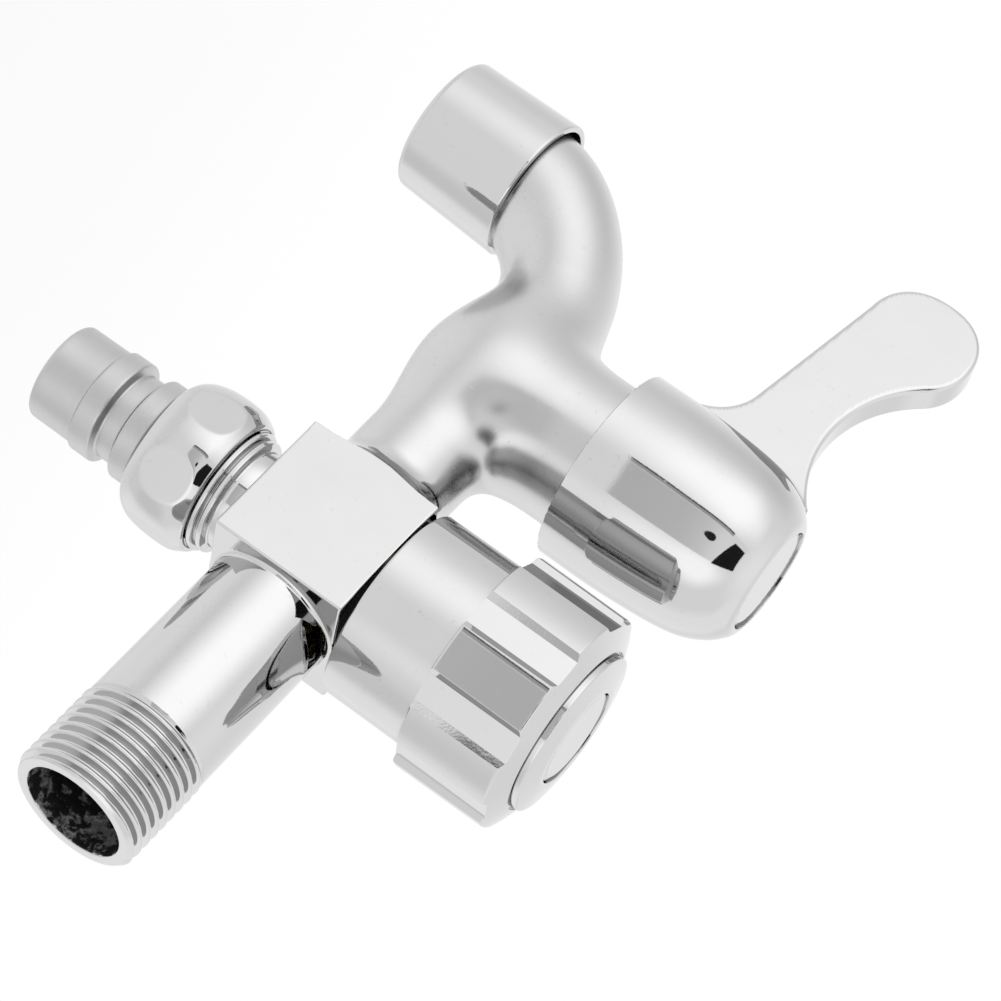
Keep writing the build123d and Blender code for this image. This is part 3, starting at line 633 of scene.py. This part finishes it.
def thread_rule():
    """Helical thread on a tube: the point's radius follows its height and angle, fading at the run-out."""
    rule = Rule("pipe_thread", {
        "crest": THREAD_CREST * MM, "root": THREAD_ROOT * MM, "pitch": THREAD_PITCH * MM,
        "pipe": PIPE_RADIUS * MM, "length": THREAD_LENGTH * MM, "lead_in": 9.75 * MM})
    x, y, z = rule.place()
    radius = (x * x + z * z).call("SQRT")
    angle = z.call("ARCTAN2", x) / (2 * math.pi)
    phase = (y / rule.size("pitch") + angle).call("FRACT")
    flank = ((phase - 0.5).call("ABSOLUTE") * 2.0 - 0.5) / 0.72 + 0.5
    height = rule.smooth(flank.clamp() * 0.72 + flank * 0.28, 0.02, 0.98)
    worn = rule.size("root") + (rule.size("crest") - rule.size("root")) * (height * 0.65 + flank.clamp() * 0.35)
    depth = -y
    fade = rule.smooth(depth, rule.size("length") - 0.9 * MM, rule.size("length") + 0.5 * MM)
    running = worn + (rule.size("pipe") - worn) * fade
    lead = rule.size("lead_in") + depth * 0.9
    scale = running.least(lead) / radius
    rule.finish(x * scale, y, z * scale, MATERIALS["chrome"])
    return rule


def sleeve(line, angles):
    """Points and faces of an open tube about Y from its line of (radius, place)."""
    shape = (len(angles), len(line))
    radii, places = np.asarray(line, float).T
    points = np.stack([np.outer(np.cos(angles), radii), np.tile(places, (len(angles), 1)),
                       np.outer(np.sin(angles), radii)], axis=-1).reshape(-1, 3)
    index = np.arange(shape[0] * shape[1]).reshape(shape)
    beside = np.roll(index, -1, axis=0)
    faces = np.stack([index[:, :-1], index[:, 1:], beside[:, 1:], beside[:, :-1]], axis=-1)
    return points, faces.reshape(-1, 4)


def make_thread():
    """Threaded end of the pipe with its mouth's rim."""
    angles = even_turn(256)
    tube = [(10.0, -depth) for depth in np.linspace(0, THREAD_COVER, 176)]
    points, faces = sleeve(tube, angles)
    ruled_piece("inlet_thread_cut", thread_rule(), points, faces, (0, 0, 0), "root",
                ["body_casting"])
    rim = rounded([(BORE_RADIUS, -1.2, 0), (BORE_RADIUS, 0, 0.3), (9.75, 0, 0.06), (9.9, -0.16, 0)])
    points, faces = sleeve(rim, angles)
    piece("inlet_mouth_rim", points, faces, "root", "chrome", finish="cast_chrome")


# Castings: a distance field, drawn as a net of quads whose points are brought onto the surface

CHUNK = 20000
FAR = 1e9


def smooth_through(places, values, start=None):
    """Cubic spline through values at places, with a given or free slope at its start; returns a function."""
    places, values = np.asarray(places, float), np.asarray(values, float)
    count = len(places)
    step = np.diff(places)
    rise = np.diff(values) / step
    system = np.zeros((count, count))
    right = np.zeros(count)
    for row in range(1, count - 1):
        system[row, row - 1:row + 2] = (step[row], 2 * (step[row - 1] + step[row]), step[row - 1])
        right[row] = 3 * (step[row] * rise[row - 1] + step[row - 1] * rise[row])
    if start is None:
        system[0, :2] = (2, 1)
        right[0] = 3 * rise[0]
    else:
        system[0, 0] = 1
        right[0] = start
    system[-1, -2:] = (1, 2)
    right[-1] = 3 * rise[-1]
    slopes = np.linalg.solve(system, right)

    def curve(where):
        where = np.clip(where, places[0], places[-1])
        cell = np.clip(np.searchsorted(places, where, side="right") - 1, 0, count - 2)
        size = step[cell]
        share = (where - places[cell]) / size
        left, last = values[cell], values[cell + 1]
        first_slope, last_slope = slopes[cell] * size, slopes[cell + 1] * size
        square = share * share
        cube = square * share
        return (left * (2 * cube - 3 * square + 1) + last * (3 * square - 2 * cube)
                + first_slope * (cube - 2 * square + share) + last_slope * (cube - square))

    return curve


def smooth_union(first, second, size):
    """Union whose seam is blended without an edge."""
    gap = np.maximum(size - np.abs(first - second), 0) / size
    return np.minimum(first, second) - gap ** 3 * size / 6


def smooth_cut(first, second, size):
    """Intersection whose edge is blended away."""
    return -smooth_union(-first, -second, size)


def round_union(first, second, size):
    """Union with a circular fillet where two faces meet square."""
    near = np.hypot(np.maximum(size - first, 0), np.maximum(size - second, 0))
    return np.maximum(np.minimum(first, second), size) - near


def round_cut(first, second, size):
    """Intersection with a rounded edge."""
    near = np.hypot(np.maximum(size + first, 0), np.maximum(size + second, 0))
    return np.minimum(np.maximum(first, second), -size) + near


def ease(share):
    """Smooth step of a share, held between 0 and 1."""
    share = np.clip(share, 0, 1)
    return share * share * (3 - 2 * share)


def nearest(points, line):
    """Number of the nearest point of a dense line in a plane, worked out for some points at a time."""
    found = np.empty(len(points), int)
    for start in range(0, len(points), CHUNK):
        part = slice(start, start + CHUNK)
        gap = ((points[part, None, 0] - line[None, :, 0]) ** 2
               + (points[part, None, 1] - line[None, :, 1]) ** 2)
        found[part] = gap.argmin(axis=1)
    return found


class SwanNeck:
    """Tube along a smooth line in the plane of the spout, swelling under the valve's boss."""

    def __init__(self):
        line = np.array([(-34.0, 0.0), (-21.0, 0.0), (-8.0, 0.1), (0.0, 0.3), (8.0, 0.3), (16.5, -0.6),
                         (24.8, -4.3), (30.9, -10.0), (34.4, -16.6), (34.95, -24.0), (35.2, -30.0)])
        place = np.concatenate([[0], np.cumsum(np.hypot(*np.diff(line, axis=0).T))])
        self.length = place[-1]
        self.ahead = smooth_through(place, line[:, 0])
        self.height = smooth_through(place, line[:, 1])
        self.samples = np.linspace(0, self.length, 240)
        self.nodes = np.stack([self.ahead(self.samples), self.height(self.samples)], axis=1)

    def radius(self, where):
        ahead = self.ahead(where)
        reach = np.where(ahead > 0, SWELL_FRONT, SWELL_BACK)
        swell = np.cos(math.pi / 2 * np.minimum(np.abs(ahead) / reach, 1)) ** 2
        growth = ease((where - 0.62 * self.length) / (0.24 * self.length))
        return NECK_RADIUS + swell * (SWELL_RADIUS - NECK_RADIUS) + growth * (TIP_RADIUS - NECK_RADIUS)

    def distance(self, points):
        """Signed distance from the tube: the nearest sample of its line, brought closer in three steps."""
        ahead, height = MAIN_Y - points[:, 1], points[:, 2]
        where = self.samples[nearest(np.stack([ahead, height], axis=1), self.nodes)]
        tiny = 0.05
        for step in range(3):
            off_ahead, off_height = self.ahead(where) - ahead, self.height(where) - height
            slope_ahead = (self.ahead(where + tiny) - self.ahead(where - tiny)) / (2 * tiny)
            slope_height = (self.height(where + tiny) - self.height(where - tiny)) / (2 * tiny)
            square = slope_ahead ** 2 + slope_height ** 2 + 1e-9
            where = np.clip(where - (off_ahead * slope_ahead + off_height * slope_height) / square,
                            tiny, self.length - tiny)
        off_ahead, off_height = self.ahead(where) - ahead, self.height(where) - height
        return np.sqrt(points[:, 0] ** 2 + off_ahead ** 2 + off_height ** 2) - self.radius(where)


SWAN = SwanNeck()


def block_distance(points):
    """Square block with small round edges; the edge under the swan neck is rounder."""
    x, y, z = points[:, 0], points[:, 1] - BLOCK_CENTRE_Y, points[:, 2]
    corner = np.where((y < 0) & (z < 0), BLOCK_CORNER, BLOCK_EDGE)
    beyond_y, beyond_z = np.abs(y) - BLOCK_HALF[1] + corner, np.abs(z) - BLOCK_HALF[2] + corner
    profile = (np.hypot(np.maximum(beyond_y, 0), np.maximum(beyond_z, 0))
               + np.minimum(np.maximum(beyond_y, beyond_z), 0) - corner)
    return round_cut(profile, np.abs(x) - BLOCK_HALF[0], BLOCK_EDGE)


def casting_distance(points):
    """The whole casting without the thread, which has a piece of its own."""
    x, y, z = points.T
    result = block_distance(points)
    from_axis = np.hypot(x, z)
    block_back = BLOCK_CENTRE_Y + BLOCK_HALF[1]
    threaded = np.clip((y + THREAD_LENGTH + 0.3) / 0.4, 0, 1)
    pipe = from_axis - PIPE_RADIUS + threaded * (PIPE_RADIUS - THREAD_ROOT + 0.12)
    pipe = np.maximum(pipe, y + 0.4)
    joined = np.maximum(round_union(pipe, y - block_back, PIPE_FILLET), from_axis - PIPE_COLLAR)
    result = np.where(y > block_back - 3, np.minimum(result, joined), result)
    front = y < BLOCK_FACE_Y + 2
    if front.any():
        ahead = points[front]
        tube = SWAN.distance(ahead)
        flare = round_union(tube, BLOCK_FACE_Y - ahead[:, 1], NECK_FLARE)
        prism = round_cut(np.abs(ahead[:, 0]) - BLOCK_HALF[0], np.abs(ahead[:, 2]) - BLOCK_HALF[2],
                          CASTING_EDGE)
        flare = np.maximum(np.maximum(flare, prism), ahead[:, 1] - BLOCK_FACE_Y - 1.5)
        height = ahead[:, 2]
        boss_radius = BOSS_RADIUS - BOSS_TAPER * ease((BOSS_TAPER_TOP - height) / BOSS_TAPER_LENGTH)
        boss = np.hypot(ahead[:, 0], ahead[:, 1] - MAIN_Y) - boss_radius
        boss = smooth_cut(round_cut(boss, height - BOSS_TOP, CASTING_EDGE), BOSS_FOOT - height, BOSS_FOOT_BLEND)
        swan = smooth_union(tube, boss, BOSS_BLEND)
        up = np.array((0, math.sin(SPOUT_LEAN), math.cos(SPOUT_LEAN)))
        foot = np.array((0, OUTLET_Y, -SPOUT_DROP)) + SPOUT_END * up
        swan = np.maximum(swan, -(ahead - foot) @ up)
        near_block = ahead[:, 1] > BLOCK_FACE_Y - NECK_FLARE - 0.5
        neck = np.where(near_block, flare, swan)
        result[front] = np.minimum(result[front], neck)
    bore = np.maximum(from_axis - BORE_RADIUS, BORE_END - y)
    inner = np.maximum(np.hypot(x, z - WATERWAY_HEIGHT) - WATERWAY_RADIUS, SERVICE_Y - y)
    return np.maximum(result, -np.minimum(bore, inner))


def steps_between(low, high, coarse, fine, marks, band=0.8):
    """Grid planes from low to high, close together beside the marks."""
    places = [low]
    while places[-1] < high:
        here = places[-1]
        gap = min([abs(here - mark) for mark in marks], default=FAR)
        places.append(here + (fine if gap < band else min(coarse, fine + 0.5 * (gap - band) + 0.02)))
    return np.array(places)


def net(distance, grid, name):
    """Quads through the cells that the surface crosses, and unit normals, points brought onto the surface."""
    xs, ys, zs = grid
    shape = (len(xs), len(ys), len(zs))
    field = np.empty(shape)
    for number, y in enumerate(ys):
        plane = np.stack(np.meshgrid(xs, zs, indexing="ij"), axis=-1).reshape(-1, 2)
        points = np.stack([plane[:, 0], np.full(len(plane), y), plane[:, 1]], axis=1)
        field[:, number, :] = distance(points).reshape(len(xs), len(zs))
    inside = field < 0
    cells = tuple(count - 1 for count in shape)
    total = np.zeros((np.prod(cells), 3))
    hits = np.zeros(np.prod(cells))
    quads = []
    for axis in range(3):
        low = [slice(None)] * 3
        high = [slice(None)] * 3
        low[axis], high[axis] = slice(None, -1), slice(1, None)
        crossed = inside[tuple(low)] != inside[tuple(high)]
        others = [other for other in range(3) if other != axis]
        for other in others:
            edge = [slice(None)] * 3
            edge[other] = (0, -1)
            crossed[tuple(edge)] = False
        where = np.argwhere(crossed)
        first = field[tuple(low)][crossed]
        last = field[tuple(high)][crossed]
        share = first / (first - last)
        points = np.stack([grid[k][where[:, k]] for k in range(3)], axis=1)
        line = grid[axis]
        points[:, axis] += share * (line[where[:, axis] + 1] - line[where[:, axis]])
        corners = []
        for shift_a, shift_b in ((0, 0), (1, 0), (1, 1), (0, 1)):
            cell = where.copy()
            cell[:, others[0]] -= shift_a
            cell[:, others[1]] -= shift_b
            flat = np.ravel_multi_index(cell.T, cells)
            corners.append(flat)
            for k in range(3):
                total[:, k] += np.bincount(flat, points[:, k], len(total))
            hits += np.bincount(flat, minlength=len(hits))
        quad = np.stack(corners, axis=1)
        turn = (first < 0) != (axis == 1)
        quad[turn] = quad[turn][:, ::-1]
        quads.append(quad)
    quads = np.vstack(quads)
    used = np.flatnonzero(hits)
    number = np.full(len(hits), -1)
    number[used] = np.arange(len(used))
    points = total[used] / hits[used, None]
    longest_move = 0.3
    for step in range(4):
        value, slope = distance(points), gradient(distance, points, 0.01)
        square = np.maximum((slope ** 2).sum(axis=1), 0.05)
        move = -slope * (value / square)[:, None]
        size = np.linalg.norm(move, axis=1)
        points += move * np.minimum(1, longest_move / np.maximum(size, 1e-9))[:, None]
    slope = gradient(distance, points, 0.03)
    normals = slope / np.maximum(np.linalg.norm(slope, axis=1), 1e-9)[:, None]
    print(name, "quads", len(quads))
    return points, number[quads][:, ::-1], normals


def gradient(distance, points, tiny):
    """Slope of the field, from two points beside each point on every axis."""
    slope = np.empty_like(points)
    for axis in range(3):
        shift = np.zeros(3)
        shift[axis] = tiny
        slope[:, axis] = (distance(points + shift) - distance(points - shift)) / (2 * tiny)
    return slope


def make_casting():
    """Block, pipe, swan neck and boss in one skin."""
    coarse = 0.55
    fine = 0.16
    half_x, half_y, half_z = BLOCK_HALF
    xs = steps_between(-13.6, 13.6, coarse, fine, (-half_x, half_x))
    ys = steps_between(-143.5, 0.6, coarse, fine, (BLOCK_CENTRE_Y - half_y, BLOCK_CENTRE_Y + half_y), 0.9)
    zs = steps_between(-31.5, 24.4, coarse, fine, (-half_z, half_z, BOSS_TOP))
    points, faces, normals = net(casting_distance, (xs, ys, zs), "casting")
    piece("body_casting_skin", points, faces, "root", "chrome", ["body_casting"], normals, "cast_chrome")


HUB_CROWN = 52.02
HUB_PROFILE = smooth_through(
    [21.0, 31.0, 37.0, 43.0, 46.0, 48.4, 50.2, 51.2, 51.8, HUB_CROWN],
    [HUB_RADIUS, HUB_RADIUS, 15.4, 14.75, 14.0, 12.85, 11.55, 10.5, 9.5, 8.8], 0.0)


def hub_outline():
    """The bell's outline as a dense line of (radius, height), densest at its crown."""
    heights = HUB_CROWN - 31.0 * np.linspace(0, 1, 400) ** 2
    return np.stack([HUB_PROFILE(heights), heights], axis=1)


HUB_LINE = hub_outline()

# The paddle, in its own plane of (reach, height) about the valve's axis
BLADE_END = (49.95, 45.33)
BLADE_RADIUS = 9.28
BLADE_FULLNESS = 2.25
BLADE_WAIST = (26.9, 44.6)
BLADE_SLOPE = math.radians(8.5)
BLADE_HALF = 2.75
BLADE_EDGE = 0.75
BLADE_INNER = 12.6
BLADE_BLEND = 1.6
ROOT_CENTRE = np.array((26.1, 23.2))
ROOT_RADIUS = 9.1
ROOT_FALL = 0.4
ROOT_TOP = 38.0


def line_distance(points, line):
    """Signed distance to a dense line, for an outline that runs inwards and upwards."""
    near = np.clip(nearest(points, line), 1, len(line) - 2)
    along = line[near + 1] - line[near - 1]
    along /= np.linalg.norm(along, axis=1)[:, None]
    off = points - line[near]
    return off[:, 0] * along[:, 1] - off[:, 1] * along[:, 0]


def bell_distance(radius, height):
    """Signed distance of the hub's outside, from its outline."""
    side = line_distance(np.stack([radius, height], axis=1), HUB_LINE[::-1])
    return np.maximum(round_cut(side, height - HUB_TOP, 0.25), HUB_FOOT - height)


def blade_outline(reach, height):
    """Signed distance in the paddle's plane: round end, waist arc above, straight edge below, hooked root."""
    slope = np.array((math.cos(BLADE_SLOPE), math.sin(BLADE_SLOPE)))
    normal = np.array((slope[1], -slope[0]))
    end = np.array(BLADE_END)
    aside = np.abs(reach - end[0]), np.abs(height - end[1])
    full = (aside[0] ** BLADE_FULLNESS + aside[1] ** BLADE_FULLNESS) ** (1 / BLADE_FULLNESS)
    disc = np.where(reach > end[0], full, np.hypot(*aside)) - BLADE_RADIUS
    drop = BLADE_END[1] + BLADE_RADIUS - BLADE_WAIST[1]
    span = BLADE_END[0] - BLADE_WAIST[0]
    waist = (span ** 2 + (drop - BLADE_RADIUS) ** 2 - BLADE_RADIUS ** 2) / (2 * drop)
    centre = np.array((BLADE_WAIST[0], BLADE_WAIST[1] + waist))
    above = waist - np.hypot(reach - centre[0], height - centre[1])
    low = end + BLADE_RADIUS * normal
    below = (reach - low[0]) * normal[0] + (height - low[1]) * normal[1]
    across = (centre - end) / np.linalg.norm(centre - end)
    touch = end + across * BLADE_RADIUS
    beyond_upper = (reach - touch[0]) * across[1] - (height - touch[1]) * across[0]
    beyond_lower = (reach - low[0]) * slope[0] + (height - low[1]) * slope[1]
    beyond = np.where(height > end[1] - 2, beyond_upper, beyond_lower)
    shank = np.maximum(np.maximum(above, below), beyond)
    from_root = reach - ROOT_CENTRE[0], height - ROOT_CENTRE[1]
    ahead = from_root[0] * slope[0] + from_root[1] * slope[1]
    foot = (-ROOT_RADIUS - from_root[0]) * ROOT_FALL - from_root[1]
    hook = np.maximum(ROOT_RADIUS - np.hypot(*from_root), ahead)
    root = np.maximum(hook, np.maximum(foot, height - ROOT_TOP))
    return np.minimum(np.minimum(disc, shank), root)


def lever_distance(points):
    """Bell hub and paddle in one casting, about the valve's axis; the paddle points to -Y."""
    radius = np.hypot(points[:, 0], points[:, 1])
    height, reach = points[:, 2], -points[:, 1]
    result = bell_distance(radius, height)
    profile = blade_outline(reach, height)
    blade = round_cut(profile, np.abs(points[:, 0]) - BLADE_HALF, BLADE_EDGE)
    blade = np.maximum(blade, BLADE_INNER - reach)
    result = smooth_union(result, blade, BLADE_BLEND)
    result = np.maximum(result, HUB_FOOT - height)
    room = np.maximum(radius - HUB_ROOM_RADIUS, height - HUB_ROOM_TOP)
    cap_seat = np.maximum(radius - HUB_CAP_RADIUS - 0.1, HUB_CAP_SEAT - height)
    return round_cut(np.maximum(result, -room), -cap_seat, 0.12)


def make_lever():
    """Hub and paddle in one skin."""
    coarse = 0.42
    fine = 0.17
    xs = steps_between(-16.4, 16.4, coarse, fine, (-BLADE_HALF, BLADE_HALF), 0.9)
    ys = steps_between(-60.4, 16.4, coarse, coarse, ())
    zs = steps_between(20.4, 55.6, coarse, fine, (21.3, 51.6), 0.9)
    points, faces, normals = net(lever_distance, (xs, ys, zs), "lever")
    piece("lever_casting", points + np.array((0, MAIN_Y, 0)), faces, "lever", "chrome", ["lever_handle"],
          normals)


def dress_cad_nodes():
    """Nodes that keep their own solids get the finish of their slot."""
    slots = {row["node"]: row["material_slot"] for row in frame["record"]["subparts"]}
    for name, node in frame["nodes"].items():
        node.data.materials.clear()
        node.data.materials.append(MATERIALS[slots[name]])


# Camera, floor and light

# Solved from the photo on the axes and rims of the turned pieces
CAMERA_PLACE = Vector((468.93, 210.15, 148.97)) * MM
CAMERA_RIGHT = Vector((0.13734423, -0.59084339, 0.79500984))
CAMERA_DOWN = Vector((-0.54780019, 0.62339455, 0.55793744))
CAMERA_FORWARD = Vector((-0.82525845, -0.51213603, -0.23804448))
CAMERA_LENS = 139.14
SENSOR_WIDTH = 36.0

# Metres: the table's height, its rings' radii, and where it fades, to the camera and in reflections
FLOOR_HEIGHT = -0.30
FLOOR_RINGS = (0.0, 0.35, 0.7, 1.05, 1.4)
FLOOR_FADE = (0.5, 1.35)
FLOOR_NEAR_FADE = (0.12, 0.45)
FLOOR_WHITENING = (0.15, 0.9)


def make_camera():
    data = bpy.data.cameras.new("camera")
    data.sensor_width = SENSOR_WIDTH
    data.lens = CAMERA_LENS
    data.clip_start = 0.01
    camera = placed("camera", data)
    axes = Matrix((CAMERA_RIGHT, -CAMERA_DOWN, -CAMERA_FORWARD)).transposed().to_4x4()
    camera.matrix_world = Matrix.Translation(CAMERA_PLACE) @ axes
    bpy.context.scene.camera = camera


def make_floor():
    """Pale round table top below the part: white to the camera, with the part's shadow, and faded at its rim.

    Polished metal sees it only close by, and the tent beyond.
    """
    points, faces = lathe([(radius / MM, 0.0) for radius in FLOOR_RINGS] + [(0.0, -2.0)], even_turn(96))
    mesh = mesh_of("floor", points, faces)
    floor = placed("floor", mesh)
    floor.location = (0, MAIN_Y * MM, FLOOR_HEIGHT)
    finish = Finish("floor", Roughness=0.9)
    finish.set("Base Color", grey(0.88))
    x, y = finish.axes(finish.place, 2)
    away = (x * x + y * y).call("SQRT")
    seen, mirrored = [finish.node("ShaderNodeLightPath", output=name)
                      for name in ("Is Camera Ray", "Is Glossy Ray")]
    lit = finish.node("ShaderNodeEmission", None, {"Color": grey(1.0), "Strength": 1.0})
    clear = finish.node("ShaderNodeBsdfTransparent")
    plain = finish.node("ShaderNodeMixShader", None, {
        0: (seen + mirrored) * finish.smooth(away, *FLOOR_WHITENING, 0.6, 1.0),
        1: Term(finish.tree, finish.surface.outputs[0]),
        2: lit})
    fade = finish.smooth(away, *FLOOR_FADE)
    near = finish.smooth(away, *FLOOR_NEAR_FADE)
    faded = finish.node("ShaderNodeMixShader", None, {0: fade + (near - fade) * mirrored, 1: plain, 2: clear})
    finish.tree.links.new(faded.socket, finish.tree.nodes["Material Output"].inputs[0])
    mesh.materials.append(finish.material)


# Degrees: the tent's seam lies half a turn from this compass angle, behind the part
TENT_TURN = 60.0

# Soft patches on the tent's wall, painted in this order: level in the picture, share,
# then compass angle, height, half width, half height and core
PATCHES = (
    (0.73, 0.95, (6, 8, 34, 46)),
    (0.99, 1.0, (69, 13, 46, 55, 0.2)),
    (0.96, 1.0, (160, 16, 30, 40, 0.25)),
    (0.87, 0.8, (-45, 10, 30, 50)),
    (0.76, 1.0, (206, -20, 30, 22, 0.2)))

# The tent's open front, and the bright and dark lines down its near rim: level, edges and softness
OPENING = (97.5, 144.0)
OPENING_FOOT, OPENING_TOP, RIM_TOP = -12.5, 56.0, 32.0
RIM_LINES = ((0.57, 98.0, 101.6, 0.4), (0.76, 101.6, 102.4, 0.3), (0.24, 97.0, 98.6, 0.3))
STAND_LEVEL, LENS_LEVEL = 0.10, 0.12
NOOK_SHADE = 0.5


def reflected(level):
    """Brightness of a wall that polished chrome shows at a level of the picture, from 0 to 1."""
    return ((level + 0.055) / 1.055) ** 2.4 / CHROME


class Tent(Tree):
    """Light tent round the part: brightness by compass angle from the front and by height, in degrees."""

    def __init__(self, tree):
        super().__init__(tree)
        x, y, z = self.axes(self.node("ShaderNodeTexCoord", output="Generated"))
        turn = math.radians(TENT_TURN)
        degree = math.degrees(1.0)
        side = x * math.cos(turn) + y * math.sin(turn)
        ahead = x * math.sin(turn) - y * math.cos(turn)
        self.compass = side.call("ARCTAN2", ahead) * degree + TENT_TURN
        self.height = z.call("ARCSINE") * degree

    def lamp(self, compass, height, wide, high, core=0.0):
        """Soft oval patch, 1 in its core and 0 past its edge."""
        across = (self.compass - compass) / wide
        along = (self.height - height) / high
        return self.smooth((across * across + along * along).call("SQRT"), core, 1.0, 1.0, 0.0)

    def between(self, value, low, high, soft):
        """1 between low and high, with a soft edge at each."""
        return (self.smooth(value, low - soft, low + soft)
                * self.smooth(value, high - soft, high + soft, 1.0, 0.0))

    def layer(self, below, level, share):
        """Paints a picture level over what is below, by a share."""
        return below + (reflected(level) - below) * share


def make_world():
    """Plain soft studio: pale tent walls, two diffusers, and the open front with the stand in it.

    Light that comes by way of a second mirror is dimmed, which deepens the nooks between the pieces.
    """
    world = bpy.data.worlds.new("studio")
    world.use_nodes = True
    bpy.context.scene.world = world
    tent = Tent(world.node_tree)
    height, compass = tent.height, tent.compass
    wall = tent.layer(tent.smooth(height, -60, -20, reflected(0.76), reflected(0.82)), 0.875,
                      tent.smooth(height, 40, 85))
    for level, share, place in PATCHES:
        wall = tent.layer(wall, level, tent.lamp(*place) * share)
    opening = (tent.between(compass, *OPENING, 0.7)
               * tent.between(height, OPENING_FOOT, OPENING_TOP, 0.35))
    inside = tent.smooth(height, -12, 28, reflected(0.67), reflected(0.81))
    wall = wall + (inside - wall) * opening
    tall = tent.between(height, OPENING_FOOT, RIM_TOP, 0.35)
    for level, left, right, soft in RIM_LINES:
        wall = tent.layer(wall, level, tent.between(compass, left, right, soft) * tall)
    stand = (tent.between(compass, 106, 146, 0.4) * tent.smooth(height, 53.6, 54.4, 1.0, 0.0)
             * tent.smooth(height + (compass - 112) * 0.32, 37.6, 38.4))
    wall = tent.layer(wall, STAND_LEVEL, stand)
    wall = tent.layer(wall, LENS_LEVEL, tent.lamp(118.6, 12, 5.2, 5.2, 0.85))
    behind = tent.smooth(compass, 214, 236).most(tent.smooth(compass, -100, -84, 1.0, 0.0))
    camera, glossy, through, bounces = [tent.node("ShaderNodeLightPath", output=name) for name in (
        "Is Camera Ray", "Is Glossy Ray", "Is Transmission Ray", "Glossy Depth")]
    wall = wall * (1.0 - NOOK_SHADE * tent.smooth(bounces, 1.0, 2.0))
    white = (camera + glossy * behind + through * behind).clamp()
    level = wall + (1.0 - wall) * white
    shade = tent.node("ShaderNodeCombineColor", None, {0: level, 1: level, 2: level})
    background = world.node_tree.nodes["Background"]
    set_socket(tent.tree, background.inputs["Color"], shade)
    set_socket(tent.tree, background.inputs["Strength"], 1.0)
    bpy.context.scene.view_settings.view_transform = "Standard"


dress_cad_nodes()
make_casting()
make_thread()
make_skirt()
make_collar()
make_nipple()
make_nozzle()
make_nut()
make_knob()
make_lever()
make_cap("service_cap_disc", WHEEL_CAP_RADIUS, WHEEL_CAP_SEAT, (0, SERVICE_Y, 0), "knob",
         ["service_knob_cap"], 0.25)
make_cap("lever_cap_disc", HUB_CAP_RADIUS, HUB_CAP_SEAT, (0, MAIN_Y, 0), "lever", ["lever_cap"], 0.2)
make_camera()
make_floor()
make_world()
